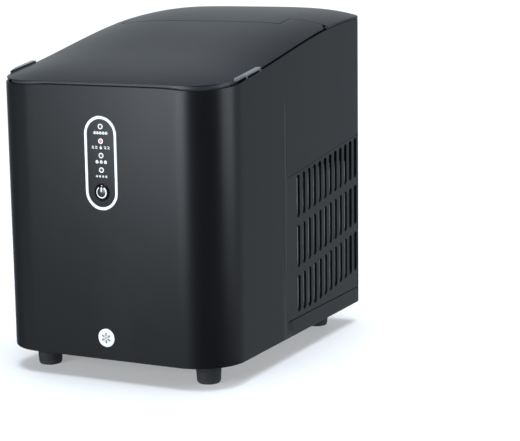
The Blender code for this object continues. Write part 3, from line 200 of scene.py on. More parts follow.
studio_floor()
surroundings(0.16, [
    ((-0.55, 0.82, 0.08), 4, 38, 0.72),  # behind and to the left
    ((0.4, 0.9, -0.1), 20, 60, 0.42),  # behind and to the right
    ((-0.55, -0.75, -0.4), 12, 55, 0.66),  # low in front
    ((0.14, -0.12, 0.98), 5, 21, 9),  # overhead
], 1.35)
key = soft_light("key_above", (-0.2, 0.3, 1.7), (0, 0.05, 0.2), 1.5, 1.2, 25)
key.visible_glossy = False
soft_light("front_left", (-0.26, -1.2, 0.27), (0.02, -0.15, 0.2), 0.62, 0.5, 10.5)
soft_light("right_strip", (1.2, 0.1, 0.35), (0.1, -0.1, 0.15), 0.7, 0.7, 8)
scene.view_settings.view_transform = "Standard"

CAMERA_RIGHT = Vector((0.89671, 0.44241, -0.01372))
CAMERA_UP = Vector((-0.06680, 0.16592, 0.98387))
lens = bpy.data.cameras.new("camera")
lens.lens, lens.sensor_width = 114.6, 36
camera = bpy.data.objects.new("camera", lens)
scene.collection.objects.link(camera)
turn = Matrix((CAMERA_RIGHT, CAMERA_UP, CAMERA_RIGHT.cross(CAMERA_UP))).transposed()
camera.matrix_world = Matrix.Translation((0.7808, -1.4095, 0.4149)) @ turn.to_4x4()
scene.camera = camera


# ---- Outer shell -----------------------------------------------------------------------
# One wrap of satin black painted steel that forms the front and both sides and turns in
# at the back. Its upper rim follows the lid, and it has windows for controls and grilles.
HALF, FRONT, BACK = 120 * MM, -156 * MM, 156 * MM
AXES = {
    "X": Matrix(((0, 0, 1, 0), (1, 0, 0, 0), (0, 1, 0, 0), (0, 0, 0, 1))),
    "Y": Matrix(((1, 0, 0, 0), (0, 0, 1, 0), (0, 1, 0, 0), (0, 0, 0, 1))),
    "Z": Matrix.Identity(4),
}


def mesh_object(name, bm, merge=0.002 * MM, face_out=True):
    bmesh.ops.remove_doubles(bm, verts=bm.verts, dist=merge)
    if face_out:
        bmesh.ops.recalc_face_normals(bm, faces=bm.faces)
        if bm.calc_volume(signed=True) < 0:
            bmesh.ops.reverse_faces(bm, faces=bm.faces)
    mesh = bpy.data.meshes.new(name)
    bm.to_mesh(mesh)
    bm.free()
    made = bpy.data.objects.new(name, mesh)
    scene.collection.objects.link(made)
    return made


def apply_steps(obj):
    """Applies a piece's modifiers."""
    bpy.context.view_layer.update()
    graph = bpy.context.evaluated_depsgraph_get()
    old = obj.data
    obj.data = bpy.data.meshes.new_from_object(obj.evaluated_get(graph))
    obj.modifiers.clear()
    bpy.data.meshes.remove(old)


def settle(obj, sharp=32):
    """Applies a piece's modifiers and shades it smooth, apart from its sharp edges."""
    if obj.modifiers:
        apply_steps(obj)
    obj.data.shade_smooth()
    obj.data.set_sharp_from_angle(angle=math.radians(sharp))
    return obj


def cut_away(obj, *tools):
    for tool in tools:
        step = obj.modifiers.new("cut", "BOOLEAN")
        step.operation, step.solver, step.object = "DIFFERENCE", "EXACT", tool
    settle(obj)
    for tool in tools:
        bpy.data.objects.remove(tool)
    return obj


def soften(obj, width, segments=2, angle=40):
    """Rounds every edge that is sharper than an angle."""
    step = obj.modifiers.new("soften", "BEVEL")
    step.width, step.segments, step.limit_method = width, segments, "ANGLE"
    step.angle_limit = math.radians(angle)
    step.miter_outer = "MITER_ARC"
    settle(obj, 50)
    weigh = obj.modifiers.new("weigh", "WEIGHTED_NORMAL")
    weigh.keep_sharp, weigh.weight = True, 100
    apply_steps(obj)
    return obj


def fit(obj, finish, body, slot, *nodes):
    """Gives a piece its finish and its body, and hides the nodes it stands for. The slot argument
    is not used.
    """
    obj.data.materials.clear()
    obj.data.materials.append(finish.material)
    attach(obj, body)
    if nodes:
        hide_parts(*nodes)
    return obj


def arc(cx, cy, radius, start, end, steps):
    angles = [math.radians(start + (end - start) * i / steps) for i in range(steps + 1)]
    return [(cx + radius * math.cos(t), cy + radius * math.sin(t)) for t in angles]


def upright_slot(cx, low, high, width, steps=8):
    r = width / 2
    return arc(cx, high - r, r, 0, 180, steps) + arc(cx, low + r, r, 180, 360, steps)


def rectangle(x0, y0, x1, y1):
    return [(x0, y0), (x1, y0), (x1, y1), (x0, y1)]


def outline_face(bm, loop):
    verts = [bm.verts.new((a, b, 0)) for a, b in loop]
    return bmesh.ops.contextual_create(bm, geom=verts)["faces"][0]


def verts_of(geometry):
    return [item for item in geometry if isinstance(item, bmesh.types.BMVert)]


def prism_mesh(loops, low, high, axis="Z"):
    """Solid blocks with flat outlines, from low to high along an axis."""
    bm = bmesh.new()
    faces = [outline_face(bm, loop) for loop in loops]
    risen = bmesh.ops.extrude_face_region(bm, geom=faces, use_keep_orig=True)["geom"]
    bmesh.ops.translate(bm, vec=(0, 0, high - low), verts=verts_of(risen))
    bmesh.ops.translate(bm, vec=(0, 0, low), verts=bm.verts)
    bmesh.ops.transform(bm, matrix=AXES[axis], verts=bm.verts)
    return bm


def prism(name, loops, low, high, axis="Z"):
    return mesh_object(name, prism_mesh(loops, low, high, axis))


def turned(name, profile, place, axis="Z", steps=64):
    """A turned shape; the profile is (radius, height along the axis)."""
    bm = bmesh.new()
    points = [bm.verts.new((radius, 0, height)) for radius, height in profile]
    edges = [bm.edges.new(pair) for pair in zip(points, points[1:])]
    if profile[0][0] > 0 and profile[-1][0] > 0:
        edges.append(bm.edges.new((points[-1], points[0])))
    bmesh.ops.spin(bm, geom=points + edges, axis=(0, 0, 1), cent=(0, 0, 0), angle=math.tau,
                   steps=steps, use_merge=True)
    bmesh.ops.transform(bm, matrix=Matrix.Translation(place) @ AXES[axis], verts=bm.verts)
    return settle(mesh_object(name, bm, 0.01 * MM))


def rod(name, radius, low, high, place, axis, steps=32):
    """A plain round bar from low to high along an axis, counted from its place."""
    return turned(name, [(0, low), (radius, low), (radius, high), (0, high)], place, axis, steps)


# Lid and deck are one crowned surface, which meets an S-shaped edge curve all round.
FRONT_TOP, REAR_TOP, CROWN = 274.7 * MM, 317.8 * MM, 8.5 * MM
FRONT_RADIUS, REAR_RADIUS = 43.8 * MM, 6 * MM
CORNER_POWER = -math.log(2) / math.log(1 - (1 - math.sqrt(0.5)) * FRONT_RADIUS / HALF)


def edge_height(y):
    along = min(max((y - FRONT) / (BACK - FRONT), 0), 1) ** 0.9
    return FRONT_TOP + (REAR_TOP - FRONT_TOP) * along * along * (3 - 2 * along)


def top_height(x, y):
    side = abs(x) / HALF
    front = max(0, HALF - (y - FRONT)) / HALF
    out = (side**CORNER_POWER + front**CORNER_POWER) ** (1 / CORNER_POWER)
    return edge_height(y) + CROWN * (1 - out**4)


def between(a, b, count):
    """Points from a to b, without b."""
    return [tuple(p + (q - p) * i / count for p, q in zip(a, b)) for i in range(count)]


def body_plan(inset=0.0, back=BACK, steps=18):
    """The body's plan outline, finely divided, from the rear right corner leftwards."""
    x, y0, y1 = HALF - inset, FRONT + inset, back - (inset if back == BACK else 0)
    r0, r1 = FRONT_RADIUS - inset, max(REAR_RADIUS - inset, 0.5 * MM)
    corners = [arc(x - r1, y1 - r1, r1, 0, 90, 6), arc(-x + r1, y1 - r1, r1, 90, 180, 6),
               arc(-x + r0, y0 + r0, r0, 180, 270, steps),
               arc(x - r0, y0 + r0, r0, 270, 360, steps)]
    plan = []
    for ends, count, following in zip(corners, (24, 30, 20, 30), corners[1:] + corners[:1]):
        plan += ends[:-1] + between(ends[-1], following[0], count)
    return plan


WALL, FOOT, LID_SKIN, GAP = 2.5 * MM, 20.8 * MM, 2 * MM, 0.4 * MM
REAR_FLANGE = 12 * MM
GRILLE_FRONT, GRILLE_BACK = -19.5 * MM, 150 * MM
CREASE = GRILLE_FRONT - 1.8 * MM
GRILLE_LOW, GRILLE_HIGH, GRILLE_SLOPE = 36.5 * MM, 175.6 * MM, 0.133
PILL_WIDTH, PILL_HEIGHT, PILL_Z, RING = 33.5 * MM, 85.4 * MM, 202.6 * MM, 2.7 * MM
BADGE_RADIUS, BADGE_Z = 8.6 * MM, 41.4 * MM


def grille_window(inset):
    rise = GRILLE_SLOPE * (GRILLE_BACK - GRILLE_FRONT)
    front, back, low = GRILLE_FRONT + inset, GRILLE_BACK - inset, GRILLE_LOW + inset
    return [(front, low), (back, low), (back, GRILLE_HIGH + rise - inset),
            (front, GRILLE_HIGH - inset)]


def pill(width, height):
    return upright_slot(0, PILL_Z - height / 2, PILL_Z + height / 2, width, 24)


def satin_shell():
    """Black paint with a soft sheen, a faint texture and paler, duller smears."""
    black = (0.0035, 0.0038, 0.0045)
    paint = Finish("shell_paint", black, 0.3, Specular_IOR_Level=0.24)
    grain = paint.noise(0.0006, 2)
    waves = paint.noise(0.03, 2)
    smears = paint.noise(0.09, 4, (1, 1, 0.35)).held(0.45, 0.75)
    paint.feed({
        "Roughness": 0.31 + 0.05 * smears + 0.02 * waves,
        "Base Color": paint.mix(smears, black, (0.005, 0.0054, 0.0062)),
        "Normal": paint.bump(grain * 0.02 + waves, 0.00012),
    })
    return paint


def rim_dip(x, y):
    """How much lower the rim runs round the front corners, under the lid's edge."""
    centre, reach = 12 * MM, 46 * MM
    away = math.hypot(HALF - centre - abs(x), y - FRONT - centre) / reach
    return 1.3 * MM * max(0, 1 - away * away)


def wrap_line():
    """The wrap's line in plan, from its left rear flange round the front to the right one."""
    half_gap = HALF - REAR_FLANGE
    plan = body_plan()
    behind = [p for p in plan if not (p[1] > BACK - 0.01 * MM and abs(p[0]) < half_gap - MM)]
    start = next(i for i, p in enumerate(behind) if p[0] < -half_gap + 2 * MM and p[1] > 0.1)
    run = behind[start:] + behind[:start]
    run = [p for p in run if abs(p[0]) > half_gap + 0.1 * MM or p[1] < 0]
    return [(-half_gap, BACK), *run, (half_gap, BACK)]


def shell_wrap():
    bm = bmesh.new()
    verts = [bm.verts.new((x, y, FOOT)) for x, y in wrap_line()]
    edges = [bm.edges.new(pair) for pair in zip(verts, verts[1:])]
    for level in (0.3, 0.6, 0.9, 1.0):
        risen = bmesh.ops.extrude_edge_only(bm, edges=edges)["geom"]
        for vert in verts_of(risen):
            x, y = vert.co.xy
            top = top_height(x, y) - LID_SKIN - GAP - rim_dip(x, y)
            vert.co.z = FOOT + (top - FOOT) * level
        edges = [e for e in risen if isinstance(e, bmesh.types.BMEdge)]
    bmesh.ops.recalc_face_normals(bm, faces=bm.faces)
    outward = sum(f.normal.dot(f.calc_center_median() * Vector((1, 1, 0))) for f in bm.faces)
    if outward < 0:
        bmesh.ops.reverse_faces(bm, faces=bm.faces)
    shell = mesh_object("shell_wrap", bm, face_out=False)
    wall = shell.modifiers.new("wall", "SOLIDIFY")
    wall.thickness, wall.offset, wall.use_even_offset = WALL, -1, True
    soften(shell, 0.8 * MM, 3)
    deep, heel = 8 * MM, 6 * MM
    heel_cut = [(BACK + MM, FOOT - MM), (BACK + MM, FOOT + heel),
                *arc(BACK - heel, FOOT + heel, heel, 0, -90, 10), (BACK - heel, FOOT - MM)]
    cut_away(
        shell,
        prism("heel", [heel_cut], -HALF - MM, HALF + MM, "X"),
        rod("badge_seat", BADGE_RADIUS + 0.2 * MM, -MM, MM, (0, FRONT, BADGE_Z), "Y", 64),
        prism("window_right", [grille_window(0)], HALF - deep, HALF + deep, "X"),
        prism("window_left", [grille_window(0)], -HALF - deep, -HALF + deep, "X"),
    )
    soften(shell, 0.25 * MM, 2)
    groove = rectangle(CREASE, 30 * MM, CREASE + 0.4 * MM, 231 * MM)
    return cut_away(
        shell,
        prism("groove", [groove], HALF - 0.25 * MM, HALF + MM, "X"),
        prism("pill_window", [pill(PILL_WIDTH + MM, PILL_HEIGHT + MM)],
              FRONT - deep, FRONT + deep, "Y"),
    )


fit(shell_wrap(), satin_shell(), "housing", "shell_gloss", "outer_shell")


# ---- Side grilles ----------------------------------------------------------------------
# Panels moulded in matt black plastic and set a little below the shell's sides, each with
# three rows of upright slots that climb with the panel's sloping top.
SLOT_WIDTH, SLOT_HEIGHT, SLOT_PITCH, SLOT_ROW = 6.3 * MM, 41.2 * MM, 12.6 * MM, 48.8 * MM
SLOT_COLUMNS, SLOT_ROWS, SLOT_START, SLOT_LOW = 12, 3, 25 * MM, 41.7 * MM
GRILLE_RECESS, GRILLE_THICK = 0.3 * MM, 2.5 * MM


def moulded(name, colour, roughness, grain=0.00045, depth=0.00002, specular=0.5):
    """Moulded plastic: an even spark-eroded texture with slight changes in its sheen."""
    plastic = Finish(name, colour, roughness, Specular_IOR_Level=specular)
    fine = plastic.noise(grain, 2)
    broad = plastic.noise(0.05, 3)
    lighter = tuple(c * 1.25 + 0.001 for c in colour)
    plastic.feed({
        "Base Color": plastic.mix(broad.held(0.35, 0.75), colour, lighter),
        "Roughness": roughness - 0.03 + 0.06 * broad,
        "Normal": plastic.bump(fine, depth),
    })
    return plastic


def grille_slots():
    loops = []
    for column in range(SLOT_COLUMNS):
        y = GRILLE_FRONT + SLOT_START + column * SLOT_PITCH
        top = GRILLE_HIGH + GRILLE_SLOPE * (y - GRILLE_FRONT) - SLOT_WIDTH / 2
        for row in range(SLOT_ROWS):
            high = top - row * SLOT_ROW
            loops.append(upright_slot(y, max(high - SLOT_HEIGHT, SLOT_LOW), high, SLOT_WIDTH))
    return loops


grille_finish = moulded("grille_plastic", (0.0045, 0.0048, 0.0056), 0.36, specular=0.27)
for side, name in ((-1, "left"), (1, "right")):
    outer = side * (HALF - GRILLE_RECESS)
    low, high = sorted((outer, outer - side * GRILLE_THICK))
    panel = prism(f"grille_{name}", [grille_window(GAP)], low, high, "X")
    cut_away(panel, prism("slots", grille_slots(), low - MM, high + MM, "X"))
    soften(panel, 0.5 * MM, 3, 60)
    fit(panel, grille_finish, "housing", "satin_black", f"side_grille_{name}")


# ---- Lid -------------------------------------------------------------------------------
# A cover moulded in satin black plastic. It turns on two pins through the knuckles under
# its ears, and has a paler ledge on each side to lift it by.
SEAM, EAR_END, HINGE_Y = 54 * MM, 78 * MM, 69 * MM
EAR_LEFT, EAR_RIGHT, EAR_OUT = 101 * MM, 79 * MM, 117.1 * MM
EAR_CORNER, EAR_PULL, LID_INSET, LID_RIM = 8.5 * MM, 15 * MM, MM, 1.2 * MM
HINGE_Z = edge_height(HINGE_Y) - 1.5 * MM
RINGS = (0.996, 0.985, 0.965, 0.93, 0.88, 0.81, 0.72, 0.62, 0.5, 0.38, 0.26, 0.15, 0.06)


def together(name, *pieces):
    """One object from several, which keep their own closed bodies and shading."""
    first = pieces[0]
    with bpy.context.temp_override(active_object=first, selected_editable_objects=pieces):
        bpy.ops.object.join()
    first.name = name
    return first


def crowned_sheet(plan, centre, rings):
    """A flat sheet in rings that shrink from its outline towards a centre."""
    bm = bmesh.new()
    core = outline_face(bm, plan)
    size = 1.0
    space = Matrix.Translation((-centre[0], -centre[1], 0))
    for ring in rings:
        bmesh.ops.inset_individual(bm, faces=[core], thickness=0, use_even_offset=False)
        ratio = ring / size
        bmesh.ops.scale(bm, vec=(ratio, ratio, 1), space=space, verts=core.verts)
        size = ring
    bmesh.ops.poke(bm, faces=[core])
    return bm


def crown(bm, drop, thick):
    """Raises a flat sheet to the top surface and gives it a thickness."""
    for vert in bm.verts:
        vert.co.z = top_height(vert.co.x, vert.co.y) - drop
    under = bmesh.ops.extrude_face_region(bm, geom=bm.faces[:])["geom"]
    bmesh.ops.translate(bm, vec=(0, 0, -thick), verts=verts_of(under))


def round_rims(bm, width, segments):
    """Rounds the edges between the top, the rim and the underside of a raised sheet."""
    rims = [e for e in bm.edges if len(e.link_faces) == 2
            and e.calc_face_angle(0) > math.radians(50)]
    bmesh.ops.bevel(bm, geom=rims, offset=width, offset_type="OFFSET", segments=segments,
                    profile=0.5, affect="EDGES", clamp_overlap=True, material=-1)


def lid_plan():
    """The lid up to the joint line, with points where the ears begin and end."""
    half = HALF - LID_INSET
    front = [p for p in body_plan(LID_INSET) if p[1] < FRONT_RADIUS + FRONT + 0.1 * MM]
    turned_round = front.index(min(front, key=lambda p: (p[0], -p[1])))
    front = front[turned_round:] + front[:turned_round]
    marks = [(half, SEAM), (EAR_OUT, SEAM), (EAR_RIGHT, SEAM), (-EAR_LEFT, SEAM),
             (-EAR_OUT, SEAM), (-half, SEAM)]
    side = between(front[-1], marks[0], 34)[1:]
    back = []
    for a, b, count in zip(marks, marks[1:], (1, 10, 44, 5, 1)):
        back += between(a, b, count)
    return front + side + back + between(marks[-1], front[0], 34)


def draw_out_ears(bm, spans, stations):
    """Carries parts of the joint line back in steps."""
    for x0, x1, last in spans:
        edges = [e for e in bm.edges if e.is_boundary
                 and all(abs(v.co.y - SEAM) < 1e-6 and x0 - 1e-6 <= v.co.x <= x1 + 1e-6
                         for v in e.verts)]
        for y in (s for s in stations if s <= last + 1e-6):
            risen = bmesh.ops.extrude_edge_only(bm, edges=edges)["geom"]
            for vert in verts_of(risen):
                vert.co.y = y
            edges = [e for e in risen if isinstance(e, bmesh.types.BMEdge)]
            edges = [e for e in edges if abs(e.verts[0].co.y - e.verts[1].co.y) < 1e-7]


def round_ears(bm):
    """Draws in each ear's outer edge towards its rear corner."""
    inner = EAR_OUT - EAR_PULL
    for vert in bm.verts:
        past = vert.co.y - (EAR_END - EAR_CORNER)
        if past > 0 and abs(vert.co.x) > inner:
            pull = EAR_CORNER - math.sqrt(max(EAR_CORNER**2 - past**2, 0))
            share = (abs(vert.co.x) - inner) / EAR_PULL
            vert.co.x -= math.copysign(pull * share, vert.co.x)


def lid_top():
    bm = crowned_sheet(lid_plan(), (0, -45 * MM), RINGS)
    stations = [SEAM + (HINGE_Y - SEAM) * i / 5 for i in range(1, 6)]
    stations += [HINGE_Y + d * MM for d in (1.5, 3, 4.5, 6, 7.2, 8.1, 8.7, 9)]
    draw_out_ears(bm, [(-HALF, -EAR_OUT, HINGE_Y), (EAR_OUT, HALF, HINGE_Y),
                       (-EAR_OUT, -EAR_LEFT, EAR_END), (EAR_RIGHT, EAR_OUT, EAR_END)], stations)
    round_ears(bm)
    bmesh.ops.remove_doubles(bm, verts=bm.verts, dist=0.01 * MM)
    crown(bm, 0, LID_RIM)
    round_rims(bm, 0.5 * MM, 3)
    return settle(mesh_object("lid_top", bm))


def lid_knuckles():
    """Turned ends under the ears, on the hinge's line."""
    pieces = []
    for x0, x1 in ((-EAR_OUT + 0.2 * MM, -EAR_LEFT - 0.2 * MM),
                   (EAR_RIGHT + 0.2 * MM, EAR_OUT - 0.2 * MM)):
        places = [x0 + (x1 - x0) * i / 6 for i in range(7)]
        profile = [(top_height(x, HINGE_Y) - HINGE_Z - 1.4 * MM, x) for x in places]
        profile = [(0, x0), *profile, (0, x1)]
        pieces.append(turned("knuckle", profile, (0, HINGE_Y, HINGE_Z), "X", 48))
    return pieces


def finger_tab(name, side):
    """A thin ledge whose front runs out at a slant, with a lip down its rear end and a
    root in the lid. Each outline is followed by its two heights above the lid's edge."""
    inner, outer, buried = HALF - 2 * MM, HALF + 3.1 * MM, HALF - 0.9 * MM
    y0, y1, lip, slant = FRONT + 34.5 * MM, FRONT + 78 * MM, 1.4 * MM, 15 * MM
    shapes = (
        ([(inner, y0), (outer, y0 + slant), (outer, y1), (inner, y1)], 0.7, 2.3),
        (rectangle(inner, y1 - lip, outer, y1), -1.4, 2.2),
        ([(inner, y0), (buried, y0 + 5 * MM), (buried, y1), (inner, y1)], -1, 1.8),
    )
    pieces = []
    for loop, low, high in shapes:
        bm = bmesh.new()
        face = outline_face(bm, [(side * x, y) for x, y in loop])
        bmesh.ops.extrude_face_region(bm, geom=[face], use_keep_orig=True)
        for vert in bm.verts:
            level = low if vert in face.verts else high
            vert.co.z = edge_height(vert.co.y) + level * MM
        pieces.append(soften(mesh_object("tab", bm), 0.25 * MM, 2))
    nub_profile = [(0, -0.6 * MM), (0.8 * MM, -0.5 * MM), (1.1 * MM, 0), (1.1 * MM, 2 * MM),
                   (0, 2 * MM)]
    nub_place = (side * (outer - 1.3 * MM), y0 + slant + 1.5 * MM,
                 edge_height(y0 + slant + MM) - 0.8 * MM)
    return together(name, *pieces, turned("nub", nub_profile, nub_place, "Z", 24))


def lid_plastic():
    """Satin black plastic, a touch lighter and glossier than the shell, with fine grain."""
    black = (0.006, 0.0066, 0.0078)
    plastic = Finish("lid_plastic", black, 0.34, Specular_IOR_Level=0.4)
    grain = plastic.noise(0.0005, 2)
    sheen = plastic.noise(0.06, 3)
    plastic.feed({
        "Base Color": plastic.mix(sheen.held(0.4, 0.7), black, (0.0074, 0.008, 0.0094)),
        "Roughness": 0.36 + 0.05 * sheen,
        "Normal": plastic.bump(grain, 0.000018),
    })
    return plastic


lid_finish = lid_plastic()
tab_finish = moulded("tab_plastic", (0.12, 0.122, 0.13), 0.3)
fit(together("lid_top", lid_top(), *lid_knuckles()), lid_finish, "lid", "satin_black", "lid_cover")
for side, name in ((-1, "left"), (1, "right")):
    fit(finger_tab(f"lid_tab_{name}", side), tab_finish, "lid", "satin_black")


# ---- Lid liner -------------------------------------------------------------------------
# A shallow tray turned upside down, moulded in dark grey plastic. Its skirt snaps into
# the lid from below.
def tub_plan(half, front, back, radius, steps=14, sides=20):
    corner_a = arc(-half + radius, front + radius, radius, 180, 270, steps)
    corner_b = arc(half - radius, front + radius, radius, 270, 360, steps)
    return (between((half, back), (-half, back), sides) + between((-half, back), corner_a[0], sides)
            + corner_a + between(corner_a[-1], corner_b[0], sides)[1:] + corner_b
            + between(corner_b[-1], (half, back), sides)[1:])


def lid_liner():
    inset, wall = 5 * MM, 2 * MM
    half, front, back, radius = HALF - inset, FRONT + inset, SEAM - inset, FRONT_RADIUS - inset
    outside = tub_plan(half, front, back, radius)
    bm = crowned_sheet(outside, (0, (front + back) / 2), RINGS)
    crown(bm, LID_SKIN + GAP, wall)
    liner = mesh_object("liner", bm)
    inside = tub_plan(half - wall, front + wall, back - wall, radius - wall)
    skirt = cut_away(prism("skirt", [outside], 0, 0.4), prism("hollow", [inside], -0.1, 0.5))
    for vert in skirt.data.vertices:
        drop = LID_SKIN + GAP + (MM if vert.co.z > 0.2 else 5.8 * MM)
        vert.co.z = top_height(vert.co.x, vert.co.y) - drop
    return soften(together("lid_liner", liner, skirt), 0.4 * MM, 2)


liner_finish = moulded("liner_plastic", (0.055, 0.057, 0.062), 0.45)
fit(lid_liner(), liner_finish, "lid", "dark_plastic", "lid_liner")


# ---- Rear deck -------------------------------------------------------------------------
# The fixed top behind the lid, screwed to the shell, with pockets round the lid's ears
# and two bearing blocks under its front tongue.
SEAM_RUN, POCKET_Y, EAR_RUN = 1.2 * MM, 78.5 * MM, 0.8 * MM


def block(name, low, high):
    return prism(name, [rectangle(*low[:2], *high[:2])], low[2], high[2])


def rear_deck():
    seam = SEAM + SEAM_RUN
    left, right, out = -EAR_LEFT + EAR_RUN, EAR_RIGHT - EAR_RUN, EAR_OUT + 0.4 * MM
    marks = [(left, seam), (left, POCKET_Y), (-out, POCKET_Y), (-HALF, POCKET_Y)]
    marks = marks[::-1] + [(right, seam), (right, POCKET_Y), (out, POCKET_Y), (HALF, POCKET_Y)]
    front = []
    for a, b, count in zip(marks, marks[1:], (1, 5, 6, 44, 6, 10, 1)):
        front += between(a, b, count)
    rear = [p for p in body_plan() if p[1] > BACK - REAR_RADIUS - 0.1 * MM]
    far_right = rear.index(max(rear, key=lambda p: (p[0], -p[1])))
    rear = rear[far_right:] + rear[:far_right]
    plan = (front + between((HALF, POCKET_Y), rear[0], 18) + rear
            + between(rear[-1], (-HALF, POCKET_Y), 18)[1:])
    bm = crowned_sheet(plan, (-11 * MM, 112 * MM), RINGS)
    strips = [e for e in bm.edges if e.is_boundary
              and all(abs(v.co.y - POCKET_Y) < 1e-6 and abs(v.co.x) > out - 1e-6 for v in e.verts)]
    risen = bmesh.ops.extrude_edge_only(bm, edges=strips)["geom"]
    for vert in verts_of(risen):
        vert.co.y = HINGE_Y + 3.4 * MM
    bmesh.ops.remove_doubles(bm, verts=bm.verts, dist=0.01 * MM)
    crown(bm, 0, LID_SKIN)
    round_rims(bm, 0.3 * MM, 2)
    deck = settle(mesh_object("deck", bm))
    bosses = []
    for x0, x1 in ((-99.4 * MM, -83.2 * MM), (61.2 * MM, 77.4 * MM)):
        low, high = HINGE_Z - 7 * MM, top_height(x0 if x0 < 0 else x1, HINGE_Y) - MM
        boss = block("boss", (x0, HINGE_Y - 7 * MM, low), (x1, HINGE_Y + 7 * MM, high))
        bosses.append(soften(boss, 0.8 * MM, 3))
    return together("deck_top", deck, *bosses)


fit(rear_deck(), lid_finish, "housing", "satin_black", "rear_deck")


# ---- Control panel ---------------------------------------------------------------------
# A white ring round a gloss black window. Behind printed rings sit four lamps, and below
# them is a domed push button. The prints are plain pictograms.
LENS_TOP, LENS_PITCH, BUTTON_Z, BUTTON_RADIUS = 235.7 * MM, 13.1 * MM, 176.2 * MM, 7.5 * MM
FASCIA, PRINT, LENS_BORE = FRONT + 0.7 * MM, 0.06 * MM, 2 * MM


def print_white():
    ink = Finish("white_print", (0.86, 0.87, 0.88), 0.42)
    specks = ink.noise(0.0004, 2)
    ink.feed({
        "Base Color": ink.mix(specks.held(0.3, 0.8), (0.82, 0.83, 0.85), (0.9, 0.91, 0.92)),
        "Roughness": 0.38 + 0.1 * specks,
    })
    return ink


def gloss_window():
    gloss = Finish("gloss_window", (0.004, 0.0043, 0.005), 0.2, Specular_IOR_Level=0.26)
    cloud = gloss.noise(0.02, 2)
    gloss.feed({"Roughness": 0.18 + 0.08 * cloud,
                "Normal": gloss.bump(gloss.noise(0.0007, 1), 0.000006)})
    return gloss


def circle(cx, cy, radius, steps=48):
    return arc(cx, cy, radius, 0, 360, steps)[:-1]


def ring_loops(cx, cz, outer, inner, steps=40):
    return circle(cx, cz, outer, steps), circle(cx, cz, inner, steps)


def flat_ring(name, outer, inner, low, high):
    """A flat ring between two outlines with as many points, facing forwards."""
    bm = bmesh.new()
    loops = []
    for loop in (outer, inner):
        verts = [bm.verts.new((x, low, z)) for x, z in loop]
        loops += [bm.edges.new(pair) for pair in zip(verts, verts[1:] + verts[:1])]
    bmesh.ops.bridge_loops(bm, edges=loops)
    back = bmesh.ops.extrude_face_region(bm, geom=bm.faces[:], use_keep_orig=True)["geom"]
    bmesh.ops.translate(bm, vec=(0, high - low, 0), verts=verts_of(back))
    return mesh_object(name, bm)


white = print_white()
inner_width, inner_height = PILL_WIDTH - 2 * RING, PILL_HEIGHT - 2 * RING
ring = flat_ring("control_ring_trim", pill(PILL_WIDTH, PILL_HEIGHT),
                 pill(inner_width, inner_height), FRONT - 0.15 * MM, FRONT + MM)
fit(soften(ring, 0.3 * MM, 3), white, "housing", "white_print", "control_ring")

fascia_finish = gloss_window()
fascia = prism("fascia_plate", [pill(inner_width - 0.1 * MM, inner_height - 0.1 * MM)],
               FASCIA, FASCIA + 2 * MM, "Y")
lens_heights = [LENS_TOP - LENS_PITCH * n for n in range(4)]
bores = [(z, LENS_BORE) for z in lens_heights] + [(BUTTON_Z, BUTTON_RADIUS + 0.35 * MM)]
cut_away(fascia, *[rod("bore", r, -MM, 4 * MM, (0, FASCIA, z), "Y", 40) for z, r in bores])
fit(soften(fascia, 0.15 * MM, 2), fascia_finish, "housing", "shell_gloss", "control_fascia")


def lamp_finish(name, colour, glow):
    """A clear lamp lens over its own coloured chip, lit or not."""
    lamp = Finish(name, colour, 0.18)
    x, z = lamp.axis("X"), lamp.axis("Z")
    if glow:
        centre = LENS_TOP - LENS_PITCH
        out = x * x + (z - centre) * (z - centre)
        core = 1 - out.held(0, LENS_BORE**2)
        lamp.feed({"Emission Color": lamp.mix(core, (1.0, 0.02, 0.03), (1.0, 0.2, 0.2)),
                   "Emission Strength": glow})
    else:
        lamp.feed({"Base Color": lamp.mix(lamp.noise(0.001).held(0.4, 0.7), colour,
                                          tuple(c * 1.5 for c in colour))})
    return lamp


dark_lamp = lamp_finish("lamp_dark", (0.02, 0.022, 0.026), 0)
red_lamp = lamp_finish("lamp_red", (0.5, 0.02, 0.03), 0.9)
for number, z in enumerate(lens_heights, 1):
    lens_shape = [(0, -0.35 * MM), (0.8 * MM, -0.3 * MM), (1.5 * MM, -0.12 * MM),
                  (1.9 * MM, 0.2 * MM), (1.9 * MM, 6 * MM), (0, 6 * MM)]
    lens_piece = turned(f"lamp_lens_{number}", lens_shape, (0, FASCIA, z), "Y", 32)
    fit(lens_piece, red_lamp if number == 2 else dark_lamp, "housing", "clear_plastic",
        f"indicator_lens_{number}")
    halo = flat_ring(f"lamp_ring_{number}", *ring_loops(0, z, 2.5 * MM, 1.45 * MM),
                     FASCIA - PRINT - 0.02 * MM, FASCIA + 0.02 * MM)
    fit(settle(halo), white, "housing", "white_print")


def drop_loop(cx, cz, radius):
    """A water drop: three quarters of a circle with a point above it."""
    return arc(cx, cz, radius, 140, 400, 20) + [(cx, cz + radius * 2.1)]


def cube_loops(cx, cz, side):
    """An ice cube seen from a corner, as three separate faces."""
    h, w, seam = side / 2, side * 0.433, side * 0.05
    top = [(cx, cz + h), (cx - w, cz + h / 2), (cx, cz), (cx + w, cz + h / 2)]
    left = [(cx - w, cz + h / 2 - seam * 2), (cx - w, cz - h / 2), (cx - seam, cz - h),
            (cx - seam, cz - seam * 2)]
    right = [(2 * cx - x, z) for x, z in left][::-1]
    return [top, left, right]


def wave_loop(cx, cz, length, height):
    upper = [(cx - length / 2 + length * i / 12,
              cz + height * math.sin(i / 12 * math.tau) * 0.5 + height * 0.25) for i in range(13)]
    return upper + [(x, z - height * 0.55) for x, z in reversed(upper)]


